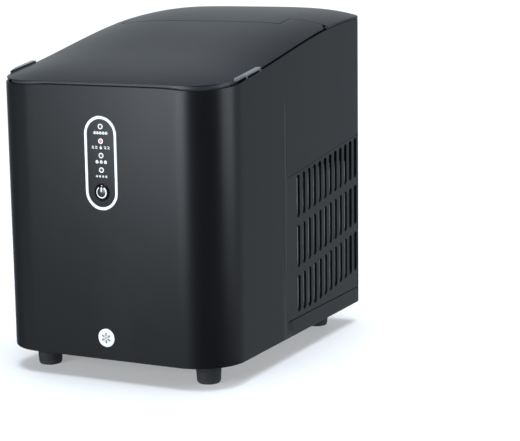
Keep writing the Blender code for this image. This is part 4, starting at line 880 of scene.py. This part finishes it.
def pictograms():
    """Full basket, add water, large ice and small ice, one under each lamp."""
    size, rows = 3.1 * MM, [z - 5.8 * MM for z in lens_heights]
    loops = []
    for x in (-6, -3, 0, 3, 6):
        loops += cube_loops(x * MM, rows[0], size * 0.95)
    loops.append(drop_loop(0, rows[1] - 0.5 * MM, 1.15 * MM))
    for x in (-8.2, -4.6, 4.6, 8.2):
        loops += [wave_loop(x * MM, rows[1] + 0.75 * MM, 3 * MM, 0.9 * MM),
                  wave_loop(x * MM, rows[1] - 0.75 * MM, 3 * MM, 0.9 * MM)]
    for x in (-4.4, 0, 4.4):
        loops += cube_loops(x * MM, rows[2], size * 1.1)
    for x in (-4.9, -1.65, 1.65, 4.9):
        loops += cube_loops(x * MM, rows[3], size * 0.72)
    return settle(prism("panel_pictograms", loops, FASCIA - PRINT, FASCIA + 0.02 * MM, "Y"))


fit(pictograms(), white, "housing", "white_print")


def button_front(radius):
    """Depth of the button's domed face at a distance from its middle."""
    return FRONT - 0.9 * MM + 2.4 * MM * (radius / BUTTON_RADIUS) ** 4


button_profile = [(r * MM, button_front(r * MM))
                  for r in (0, 2, 3.2, 4.2, 5, 5.6, 6.1, 6.5, 6.9, 7.2, 7.5)]
button_profile += [(7.5 * MM, FRONT + 3 * MM), (0, FRONT + 3 * MM)]
button = turned("button_cap", button_profile, (0, 0, BUTTON_Z), "Y", 72)
stem = rod("stem", 2 * MM, FRONT + 2.9 * MM, FRONT + 6.6 * MM, (0, 0, BUTTON_Z), "Y", 24)
button_finish = Finish("button_gloss", (0.003, 0.0033, 0.004), 0.2, Specular_IOR_Level=0.5)
button_finish.feed({"Roughness": 0.16 + 0.08 * button_finish.noise(0.003, 2),
                    "Normal": button_finish.bump(button_finish.noise(0.0006, 1), 0.000006)})
fit(together("button_cap", button, stem), button_finish, "button", "shell_gloss", "power_button")


def power_symbol():
    """A broken ring and a bar, which lie on the button's dome."""
    outer, inner, width, gap, steps = 5.4 * MM, 4.3 * MM, 0.55 * MM, 32, 48
    outside = arc(0, 0, outer, 90 + gap, 450 - gap, steps)
    inside = arc(0, 0, inner, 90 + gap, 450 - gap, steps)
    bar = [(-width, 0.4 * MM), (width, 0.4 * MM)] + arc(0, 6 * MM, width, 0, 180, 8)
    bm = bmesh.new()
    for a, b, c, d in zip(outside, outside[1:], inside[1:], inside):
        outline_face(bm, [a, b, c, d])
    outline_face(bm, bar)
    bmesh.ops.remove_doubles(bm, verts=bm.verts, dist=0.001 * MM)
    bmesh.ops.triangulate(bm, faces=bm.faces)
    bmesh.ops.subdivide_edges(bm, edges=[e for e in bm.edges if e.calc_length() > MM], cuts=2)
    bmesh.ops.triangulate(bm, faces=bm.faces)
    lifted = bmesh.ops.extrude_face_region(bm, geom=bm.faces[:], use_keep_orig=True)["geom"]
    raised = set(verts_of(lifted))
    for vert in bm.verts:
        x, z = vert.co.x, vert.co.y
        depth = button_front(math.hypot(x, z)) + (-PRINT if vert in raised else 0.03 * MM)
        vert.co = (x, depth, z + BUTTON_Z)
    return settle(mesh_object("power_symbol", bm))


fit(power_symbol(), white, "button", "white_print")


# ---- Badge -----------------------------------------------------------------------------
# A slightly domed disc of white plastic, glued in a shallow seat low on the front, with
# a plain snowflake printed on it.
badge = turned("badge_disc", [(0, -0.35 * MM), (5 * MM, -0.3 * MM), (7.6 * MM, -0.12 * MM),
                              (8.3 * MM, 0.05 * MM), (8.6 * MM, 0.35 * MM), (8.6 * MM, 0.7 * MM),
                              (0, 0.7 * MM)], (0, FRONT, BADGE_Z), "Y", 72)
fit(badge, white, "housing", "white_print", "badge")


def snowflake():
    """Six arms, each with two pairs of short branches."""
    loops = []
    for arm in range(6):
        turn_by = Matrix.Rotation(math.radians(60 * arm), 2)
        bars = [((0, 0.5), (0, 5.2))]
        for root, reach in ((2.3, 1.3), (3.7, 1.0)):
            for lean in (-1, 1):
                bars.append(((0, root), (lean * reach, root + reach * 0.75)))
        for start, end in bars:
            a, b = Vector(start) * MM, Vector(end) * MM
            across = (b - a).orthogonal().normalized() * 0.3 * MM
            corners = [turn_by @ p for p in (a - across, a + across, b + across, b - across)]
            loops.append([(p.x, p.y + BADGE_Z) for p in corners])
    return settle(prism("badge_snowflake", loops, FRONT - 0.42 * MM, FRONT - 0.2 * MM, "Y"))


grey_ink = moulded("grey_ink", (0.08, 0.09, 0.1), 0.5)
fit(snowflake(), grey_ink, "housing", "white_print")


# ---- Feet ------------------------------------------------------------------------------
# Four tapered feet, moulded in black rubber with a groove round them and a shallow hollow
# below. Each is pushed through the pan on its own stud.
def rubber():
    """Matt black rubber with a mould line's grain and dust near the floor."""
    soft = Finish("foot_rubber", (0.018, 0.018, 0.019), 0.75)
    dust = (1 - soft.axis("Z").held(0, 6 * MM)) * soft.noise(0.002, 3)
    soft.feed({
        "Base Color": soft.mix(dust, (0.016, 0.016, 0.017), (0.055, 0.053, 0.05)),
        "Roughness": 0.7 + 0.15 * soft.noise(0.003, 2),
        "Normal": soft.bump(soft.noise(0.0007, 2), 0.00005),
    })
    return soft


rubber_finish = rubber()
FOOT_X, FOOT_Y = 86 * MM, 119.4 * MM
foot_profile = [(0, 27 * MM), (2.3 * MM, 27 * MM), (2.6 * MM, 26.5 * MM), (2.6 * MM, 20.4 * MM),
                (11.4 * MM, 20.4 * MM), (11.85 * MM, 20.2 * MM), (12 * MM, 19.7 * MM),
                (11.75 * MM, 14 * MM), (11.3 * MM, 13.6 * MM), (11.3 * MM, 12.9 * MM),
                (11.65 * MM, 12.5 * MM), (11.1 * MM, 3 * MM), (10.7 * MM, 1.2 * MM),
                (9.9 * MM, 0.3 * MM), (9 * MM, 0), (7.4 * MM, 0), (7 * MM, 0.8 * MM), (0, 0.8 * MM)]
for y_name, y in (("front", -FOOT_Y), ("rear", FOOT_Y)):
    for x_name, x in (("left", -FOOT_X), ("right", FOOT_X)):
        foot = turned(f"rubber_foot_{y_name}_{x_name}", foot_profile, (x, y, 0), "Z", 64)
        fit(foot, rubber_finish, "housing", "foot_rubber", f"foot_{y_name}_{x_name}")


# ---- Base pan --------------------------------------------------------------------------
# A shallow pan pressed from steel sheet and painted black, with an upturned rim and bead
# lines along its floor. The feet and the drain cap sit in its holes.
def pan_paint():
    paint = Finish("pan_paint", (0.018, 0.018, 0.019), 0.45)
    chips = paint.noise(0.004, 5).held(0.66, 0.72)
    paint.feed({
        "Base Color": paint.mix(chips, (0.017, 0.017, 0.018), (0.05, 0.045, 0.04)),
        "Roughness": 0.42 + 0.1 * paint.noise(0.02, 3) + 0.1 * chips,
        "Normal": paint.bump(paint.noise(0.0012, 2), 0.00005),
    })
    return paint


def base_pan():
    back = 152.3 * MM
    outside = body_plan(2.9 * MM, back, 12)
    pan = prism("base_pan", [outside], FOOT, 32.8 * MM)
    holes = [prism("hollow", [body_plan(5.4 * MM, back - 2.5 * MM, 12)], 23.3 * MM, 50 * MM)]
    places = [(x, y, 3 * MM) for x in (-FOOT_X, FOOT_X) for y in (-FOOT_Y, FOOT_Y)]
    for x, y, r in (*places, (-60 * MM, -100 * MM, 8.8 * MM)):
        holes.append(prism("hole", [circle(x, y, r, 32)], 0, 40 * MM))
    for x in (-40, -15, 10, 35):
        holes.append(prism("bead", [upright_slot(x * MM, -60 * MM, 110 * MM, 6 * MM)],
                           10 * MM, FOOT + 0.8 * MM))
    cut_away(pan, *holes)
    return soften(pan, 0.6 * MM, 2)


fit(base_pan(), pan_paint(), "housing", "painted_black", "base_chassis")


# ---- Rear panel ------------------------------------------------------------------------
# A moulded back with two rows of air slots and a window for the power inlet. Four plated
# screws hold it at its corners.
INLET_X0, INLET_X1, INLET_Z0, INLET_Z1 = -87.5 * MM, -60.5 * MM, 44.8 * MM, 64.8 * MM
SCREW_X, SCREW_LOW, SCREW_HIGH = 98 * MM, 36.8 * MM, 289.8 * MM


def rear_cover():
    face, inner = 154.5 * MM, 150.7 * MM
    half, low = 107.6 * MM, 21.2 * MM
    across = between((half, 0), (-half, 0), 40) + [(-half, 0)]
    outline = [(x, top_height(x, face) - LID_SKIN - GAP) for x, _ in across]
    panel = prism("rear_cover", [[(half, low), *outline, (-half, low)][::-1]], inner, face, "Y")
    loops = [upright_slot((c * 12.6 - 12) * MM, z * MM, z * MM + SLOT_HEIGHT, SLOT_WIDTH)
             for c in range(9) for z in (58, 106.8)]
    loops += [circle(x, z, 3.6 * MM, 32) for x in (-SCREW_X, SCREW_X)
              for z in (SCREW_LOW, SCREW_HIGH)]
    loops.append(rectangle(INLET_X0 - GAP, INLET_Z0 - GAP, INLET_X1 + GAP, INLET_Z1 + GAP))
    cut_away(panel, prism("rear_cuts", loops, inner - MM, face + MM, "Y"))
    return soften(panel, 0.35 * MM, 2, 60)


fit(rear_cover(), grille_finish, "housing", "satin_black", "rear_panel")


def brushed_steel():
    """Plated steel with fine turning marks and slightly duller patches."""
    colour = (0.56, 0.57, 0.58)
    metal = Finish("steel", colour, 0.32, 1.0)
    marks = metal.noise(0.0004, 3, (1, 1, 6))
    metal.feed({
        "Roughness": 0.27 + 0.12 * metal.noise(0.01, 3) + 0.05 * marks,
        "Base Color": metal.mix(metal.noise(0.02, 3).held(0.4, 0.7), colour,
                                tuple(c * 0.85 for c in colour)),
        "Normal": metal.bump(marks, 0.00001),
    })
    return metal


steel = brushed_steel()
screw_profile = [(0, -8 * MM), (1.5 * MM, -8 * MM), (1.5 * MM, -0.6 * MM), (3.2 * MM, -0.6 * MM),
                 (3.2 * MM, 0.1 * MM), (2.9 * MM, 0.7 * MM), (2.2 * MM, 1.05 * MM), (0, 1.2 * MM)]
screw_places = [(x, z) for z in (SCREW_LOW, SCREW_HIGH) for x in (-SCREW_X, SCREW_X)]
for number, (x, z) in enumerate(screw_places, 1):
    screw = turned(f"panel_screw_{number}", screw_profile, (x, 154.6 * MM, z), "Y", 40)
    for angle in (20, 110):
        drive = block("drive", (-2 * MM, -0.3 * MM, 0.3 * MM), (2 * MM, 0.3 * MM, 4 * MM))
        drive.data.transform(Matrix.Translation((x, 155.4 * MM, z))
                             @ Matrix.Rotation(math.radians(angle), 4, "Y")
                             @ Matrix.Rotation(math.radians(-90), 4, "X"))
        cut_away(screw, drive)
    fit(screw, steel, "housing", "steel", f"rear_screw_{number}")


# ---- Power inlet -----------------------------------------------------------------------
# A three-pin appliance inlet in black plastic with plated pins, clipped into the rear
# panel from outside.
def appliance_inlet():
    x0, x1, z0, z1 = INLET_X0, INLET_X1, INLET_Z0, INLET_Z1
    edge, rim, corner = 3 * MM, 2 * MM, 5 * MM
    mouth_back, mouth_front = 139.5 * MM, 160 * MM
    mouth = [(x0 + rim, z0 + rim), (x1 - rim, z0 + rim), (x1 - rim, z1 - rim - corner),
             (x1 - rim - corner, z1 - rim), (x0 + rim + corner, z1 - rim),
             (x0 + rim, z1 - rim - corner)]
    body = prism("body", [rectangle(x0, z0, x1, z1)], 132.5 * MM, 155.5 * MM, "Y")
    plate = prism("plate", [rectangle(x0 - edge, z0 - edge, x1 + edge, z1 + edge)],
                  154.9 * MM, 156 * MM, "Y")
    for piece, softness in ((body, 0.3 * MM), (plate, 0.4 * MM)):
        cut_away(piece, prism("mouth", [mouth], mouth_back, mouth_front, "Y"))
        soften(piece, softness, 2)
    return together("inlet_housing", body, plate)


fit(appliance_inlet(), moulded("inlet_plastic", (0.02, 0.02, 0.021), 0.4), "housing",
    "dark_plastic", "power_inlet")
pins = [soften(block("pin", ((x - 1) * MM, 138 * MM, (z - 2) * MM),
                     ((x + 1) * MM, 149 * MM, (z + 2) * MM)), 0.4 * MM, 2)
        for x, z in ((-81, 53.8), (-74, 57.8), (-67, 53.8))]
fit(together("inlet_pins", *pins), steel, "housing", "steel")


# ---- Condenser -------------------------------------------------------------------------
# A finned coil behind the right grille: thin aluminium fins on five tube rows, with
# copper bends at both ends.
def fin_metal():
    """Bare aluminium fins, streaked up and down and dusty in places."""
    metal = Finish("fin_metal", (0.8, 0.81, 0.82), 0.45, 0.3)
    dust = metal.noise(0.018, 4).held(0.5, 0.8)
    metal.feed({
        "Base Color": metal.mix(dust, (0.82, 0.83, 0.84), (0.3, 0.29, 0.28)),
        "Roughness": 0.4 + 0.3 * dust,
        "Metallic": 0.35 - 0.3 * dust,
        "Normal": metal.bump(metal.noise(0.0012, 2, (1, 1, 0.2)), 0.00004),
    })
    return metal


COIL_X0, COIL_X1, COIL_Y0, COIL_Y1 = 99 * MM, 113 * MM, 7 * MM, 141 * MM
COIL_Z0, COIL_Z1 = 42 * MM, 170 * MM


def upright_plate(bm, y, thick):
    """A plate across the coil, and its corners."""
    made = bmesh.ops.create_cube(bm, size=1)["verts"]
    middle = ((COIL_X0 + COIL_X1) / 2, y, (COIL_Z0 + COIL_Z1) / 2)
    size = (COIL_X1 - COIL_X0, thick, COIL_Z1 - COIL_Z0)
    bmesh.ops.transform(bm, matrix=Matrix.Translation(middle) @ Matrix.Diagonal((*size, 1)),
                        verts=made)
    return made


def condenser_fins():
    """Fins that lean a little, each its own way, between two end plates."""
    random.seed(7)
    bm = bmesh.new()
    pitch = 2.1 * MM
    for number in range(int((COIL_Y1 - COIL_Y0) / pitch)):
        lean = random.uniform(-0.25, 0.25) * MM
        for vert in upright_plate(bm, COIL_Y0 + (number + 0.5) * pitch, 0.25 * MM):
            if vert.co.x > (COIL_X0 + COIL_X1) / 2:
                vert.co.y += lean
    for y in (COIL_Y0 - 0.3 * MM, COIL_Y1 + 0.3 * MM):
        upright_plate(bm, y, MM)
    return settle(mesh_object("condenser_fins", bm))


fit(condenser_fins(), fin_metal(), "housing", "condenser_fins", "condenser")


def copper_finish():
    metal = Finish("copper", (0.72, 0.38, 0.24), 0.3, 1.0)
    tarnish = metal.noise(0.012, 4).held(0.45, 0.75)
    metal.feed({
        "Base Color": metal.mix(tarnish, (0.74, 0.4, 0.26), (0.34, 0.17, 0.1)),
        "Roughness": 0.26 + 0.25 * tarnish,
        "Normal": metal.bump(metal.noise(0.002, 2), 0.00003),
    })
    return metal


copper = copper_finish()


def coil_tubes():
    """Straight runs through the fins and half rings outside them."""
    tubes = []
    rows, bore, bend, front = 5, 2.6 * MM, 5 * MM, COIL_Y0 + MM
    pitch = (COIL_Z1 - COIL_Z0) / rows
    x = (COIL_X0 + COIL_X1) / 2
    for number in range(rows):
        z = COIL_Z0 + pitch * (number + 0.5)
        bm = bmesh.new()
        bmesh.ops.create_circle(bm, cap_ends=True, radius=bore, segments=16,
                                matrix=Matrix.Translation((x, front, z + bend))
                                @ Matrix.Rotation(math.radians(90), 4, "X"))
        end = bm.faces[:]
        bmesh.ops.spin(bm, geom=end + end[0].edges[:] + end[0].verts[:], axis=(1, 0, 0),
                       cent=(x, front, z), angle=math.pi, steps=14)
        tubes.append(mesh_object("bend", bm))
        tubes.append(rod("run", bore, COIL_Y0, COIL_Y1, (x, 0, z), "Y", 16))
    return together("coil_tubes", *tubes)


fit(coil_tubes(), copper, "housing", "copper_tube")


# ---- Top frame and chute ---------------------------------------------------------------
# The surround that shows when the lid is up, in one moulding with the chute that leads
# down to the tank.
CHUTE_HALF, CHUTE_FRONT, CHUTE_BACK = 96.25 * MM, -134.25 * MM, 58 * MM
CHUTE_RADIUS, CHUTE_LOW = 22.05 * MM, 256.5 * MM
TRAY_Y, TRAY_Z, LINE_X, LINE_Z = 20 * MM, 262 * MM, 40 * MM, 299 * MM


def top_frame():
    edge, wall = 2.9 * MM, 2.5 * MM
    outer = tub_plan(HALF - edge, FRONT + edge, 61.5 * MM, FRONT_RADIUS - edge)
    bm = crowned_sheet(outer, (0, -45 * MM), RINGS[:9])
    crown(bm, 9 * MM, wall)
    surround = mesh_object("surround", bm)
    hole = tub_plan(CHUTE_HALF, CHUTE_FRONT, CHUTE_BACK, CHUTE_RADIUS)
    cut_away(surround, prism("hole", [hole], 0, 0.5))
    soften(surround, 0.8 * MM, 3)
    outside = tub_plan(CHUTE_HALF + wall, CHUTE_FRONT - wall, CHUTE_BACK + wall,
                       CHUTE_RADIUS + wall)
    walls = cut_away(prism("walls", [outside], 0, 1), prism("hole", [hole], -1, 2))
    for vert in walls.data.vertices:
        top = top_height(vert.co.x, vert.co.y) - 10.5 * MM
        vert.co.z = top if vert.co.z > 0.5 else CHUTE_LOW
    cut_away(
        walls,
        rod("shaft_bore", 3.8 * MM, 80 * MM, 118 * MM, (0, TRAY_Y, TRAY_Z), "X"),
        rod("pin_bore", 6.2 * MM, -118 * MM, -80 * MM, (0, TRAY_Y, TRAY_Z), "X"),
        *[rod("line_hole", 4.5 * MM, 57 * MM, 68 * MM, (x, 0, LINE_Z), "Y")
          for x in (-LINE_X, LINE_X)],
    )
    return together("top_surround", surround, walls)


fit(top_frame(), moulded("surround_plastic", (0.02, 0.0212, 0.0235), 0.42), "housing",
    "satin_black", "top_frame")


# ---- Basket ----------------------------------------------------------------------------
# The lift-out ice basket, moulded in clear plastic with drip slots in its floor and four
# raised bands outside. It rests on the tank's shelf.
def clear_plastic(name, colour, roughness):
    clear = Finish(name, colour, roughness, Transmission_Weight=0.75, IOR=1.46)
    clear.feed({
        "Roughness": roughness + 0.06 * clear.noise(0.01, 3),
        "Normal": clear.bump(clear.noise(0.004, 2), 0.00004),
    })
    return clear


def ice_basket():
    low, high, wall = 112 * MM, 248 * MM, 1.8 * MM

    def tub(out):
        return tub_plan(92 * MM + out, -130 * MM - out, -36 * MM + out, 17.8 * MM + out)

    shape = prism("basket", [tub(0)], low, high)
    slots = [upright_slot((c - 3) * 22 * MM, (y - 13) * MM, (y + 13) * MM, 5 * MM)
             for c in range(7) for y in (-65, -101)]
    cut_away(shape, prism("inside", [tub(-wall)], low + wall, high + MM),
             prism("drips", slots, low - MM, low + 2 * wall))
    soften(shape, 0.7 * MM, 3, 50)
    ribs = []
    for level in (136, 160, 184, 208):
        rib = prism("rib", [tub(0.35 * MM)], level * MM, (level + 1.6) * MM)
        ribs.append(cut_away(rib, prism("inside", [tub(-0.2 * MM)], 0, 0.4)))
    return together("basket_body", shape, *ribs)


fit(ice_basket(), clear_plastic("basket_plastic", (0.62, 0.66, 0.7), 0.12), "basket",
    "clear_plastic", "ice_basket")


# ---- Cold fingers ----------------------------------------------------------------------
# A plated bar with nine hollow fingers in two rows, on which the ice grows. Use has
# frosted them towards their tips.
def frosted():
    metal = Finish("evaporator_metal", (0.62, 0.63, 0.64), 0.25, 1.0)
    frost = (1 - metal.axis("Z").held(234 * MM, 262 * MM)) * metal.noise(0.004, 4).held(0.3, 0.7)
    metal.feed({
        "Base Color": metal.mix(frost, (0.64, 0.65, 0.66), (0.85, 0.89, 0.93)),
        "Roughness": 0.22 + 0.45 * frost,
        "Metallic": 1 - 0.8 * frost,
        "Normal": metal.bump(metal.noise(0.0009, 3), 0.00006),
    })
    return metal


def cold_fingers():
    bar = soften(block("bar", (-62 * MM, 6 * MM, 268 * MM), (62 * MM, 34 * MM, 280 * MM)),
                 2 * MM, 4)
    radius, collar, pitch = 4.2 * MM, 5.4 * MM, 26 * MM
    tip = arc(0, 236.2 * MM, radius, -90, 0, 6)
    profile = [(0, tip[0][1]), *tip[1:], (radius, 264 * MM), (collar, 265 * MM),
               (collar, 269 * MM), (0, 269 * MM)]
    fingers = [turned("finger", profile, ((number - (count - 1) / 2) * pitch, y, 0), "Z", 28)
               for y, count in ((29 * MM, 5), (11 * MM, 4)) for number in range(count)]
    return together("cold_fingers", bar, *fingers)


fit(cold_fingers(), frosted(), "housing", "evaporator_metal", "evaporator")


# ---- Water tray ------------------------------------------------------------------------
# A clear plastic trough that tips about its own axis. The plate at its right end takes
# the motor's shaft, and the left one has a pin that turns in the bearing.
TRAY_HALF, TRAY_BORE = 70 * MM, 3.3 * MM


def water_tray():
    outer = arc(TRAY_Y, TRAY_Z, 36 * MM, 205, 335, 40)
    inner = arc(TRAY_Y, TRAY_Z, 34 * MM, 335, 205, 40)
    trough = soften(prism("trough", [outer + inner], -TRAY_HALF, TRAY_HALF, "X"), 0.5 * MM, 3, 50)
    hub = arc(TRAY_Y, TRAY_Z, 6 * MM, 0, 180, 16)
    ends = []
    for side in (-1, 1):
        x0, x1 = sorted((side * TRAY_HALF, side * (TRAY_HALF - 2 * MM)))
        plate = prism("end", [outer + hub], x0, x1, "X")
        if side > 0:
            cut_away(plate, rod("bore", TRAY_BORE, 60 * MM, 75 * MM, (0, TRAY_Y, TRAY_Z), "X"))
        ends.append(soften(plate, 0.4 * MM, 2, 50))
    pin = turned("pin", [(0, -98.7 * MM), (2.6 * MM, -98.7 * MM), (3 * MM, -98.3 * MM),
                         (3 * MM, -69 * MM), (0, -69 * MM)], (0, TRAY_Y, TRAY_Z), "X", 32)
    return together("tray_trough", trough, *ends, pin)


fit(water_tray(), clear_plastic("tray_plastic", (0.7, 0.74, 0.77), 0.15), "tray",
    "clear_plastic", "water_tray")


# ---- Shovel ----------------------------------------------------------------------------
# A curved blade on two arms, moulded in dark plastic. It turns about the tray's axis and
# sweeps finished ice forward into the basket.
def ice_shovel():
    reach, half = 42.5 * MM, 72.8 * MM
    edge = (arc(TRAY_Y, TRAY_Z, reach, 288, 312, 12)
            + arc(TRAY_Y, TRAY_Z, reach - 4 * MM, 312, 288, 12))
    pieces = [soften(prism("blade", [edge], -half, half, "X"), 0.8 * MM, 3, 50)]
    arm = arc(TRAY_Y, TRAY_Z, 6 * MM, 40, 200, 16) + arc(TRAY_Y, TRAY_Z, reach, 290, 310, 6)
    for side in (-1, 1):
        x0, x1 = sorted((side * 70.8 * MM, side * 73.8 * MM))
        plate = prism("arm", [arm], x0, x1, "X")
        cut_away(plate, rod("bore", TRAY_BORE, x0 - MM, x1 + MM, (0, TRAY_Y, TRAY_Z), "X"))
        pieces.append(soften(plate, 0.6 * MM, 2, 50))
    return together("shovel_blade", *pieces)


dark_plastic = moulded("dark_plastic", (0.045, 0.046, 0.05), 0.45)
fit(ice_shovel(), dark_plastic, "shovel", "dark_plastic", "ice_shovel")


# ---- Compressor ------------------------------------------------------------------------
# A pot of two pressed steel halves, welded along a seam band and painted gloss black. It
# stands on its bracket in the rear left corner.
def compressor_pot():
    x, y, low, high, r = -52.5 * MM, 52 * MM, 33.1 * MM, 137.1 * MM, 43 * MM
    seam = low + (high - low) * 0.42
    profile = [(0, low), (r * 0.55, low + 0.6 * MM), (r * 0.7, low + 2 * MM),
               (r * 0.84, low + 7 * MM), (r * 0.92, low + 14 * MM), (r * 0.93, seam - 2 * MM),
               (r * 0.99, seam - MM), (r, seam), (r, seam + 4 * MM), (r * 0.985, seam + 4.8 * MM),
               (r * 0.95, seam + 5 * MM), (r * 0.93, high - 28 * MM), (r * 0.88, high - 18 * MM),
               (r * 0.75, high - 10 * MM), (r * 0.6, high - 4.6 * MM), (r * 0.45, high - 2 * MM),
               (r * 0.2, high - 0.4 * MM), (0, high)]
    return turned("compressor_pot", profile, (x, y, 0), "Z", 80)


pot_paint = Finish("pot_paint", (0.014, 0.014, 0.015), 0.24)
pot_paint.feed({
    "Roughness": 0.2 + 0.15 * pot_paint.noise(0.02, 3),
    "Normal": pot_paint.bump(pot_paint.noise(0.0025, 2), 0.00008),
})
fit(compressor_pot(), pot_paint, "housing", "painted_black", "compressor")


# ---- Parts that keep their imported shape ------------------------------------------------
# Inner parts whose shape is already right, each in the finish of its material: the tank,
# foam jacket, boards, motors, brackets, pins, lines, sensors, fan, pump, hose and seal.
def tank_plastic():
    milky = Finish("tank_plastic", (0.78, 0.79, 0.8), 0.4)
    scale_line = milky.axis("Z").held(96 * MM, 99 * MM) - milky.axis("Z").held(99 * MM, 104 * MM)
    milky.feed({
        "Base Color": milky.mix(scale_line * 0.5, (0.78, 0.8, 0.82), (0.66, 0.65, 0.61)),
        "Roughness": 0.36 + 0.12 * milky.noise(0.03, 3),
        "Normal": milky.bump(milky.noise(0.0008, 2), 0.00002),
    })
    return milky


def foam_finish():
    foam = Finish("foam", (0.82, 0.78, 0.66), 0.9)
    cells = foam.cells(700)
    foam.feed({"Base Color": foam.mix(cells, (0.7, 0.65, 0.52), (0.86, 0.83, 0.74)),
               "Normal": foam.bump(cells, 0.0003)})
    return foam


def board_finish():
    board = Finish("circuit_board", (0.02, 0.14, 0.07), 0.35)
    tracks = board.cells(260).held(0.42, 0.5)
    board.feed({"Base Color": board.mix(tracks, (0.015, 0.11, 0.055), (0.05, 0.22, 0.11)),
                "Roughness": 0.3 + 0.2 * tracks, "Normal": board.bump(tracks, 0.00005)})
    return board


tank_finish, foam, circuit_board = tank_plastic(), foam_finish(), board_finish()
hose_finish = clear_plastic("hose_plastic", (0.75, 0.78, 0.8), 0.2)
KEPT = {
    tank_finish: ("water_tank", "tray_bearing"),
    foam: ("insulation_jacket",),
    circuit_board: ("main_board", "control_board"),
    steel: ("hinge_pin_left", "hinge_pin_right", "tray_shaft", "tray_gear_motor",
            "compressor_bracket", "fan_motor", "fan_stand"),
    copper: ("suction_line", "liquid_line", "discharge_line", "filter_drier", "hot_gas_valve"),
    dark_plastic: ("tact_switch", "ice_full_sensor_left", "ice_full_sensor_right",
                   "water_level_sensor", "drain_cap", "fan_shroud", "fan_blades", "water_pump"),
    rubber_finish: ("drain_seal",),
    hose_finish: ("water_hose",),
}
for finish, names in KEPT.items():
    for name in names:
        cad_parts[name].material_slots[0].material = finish.material

bpy.context.view_layer.update()
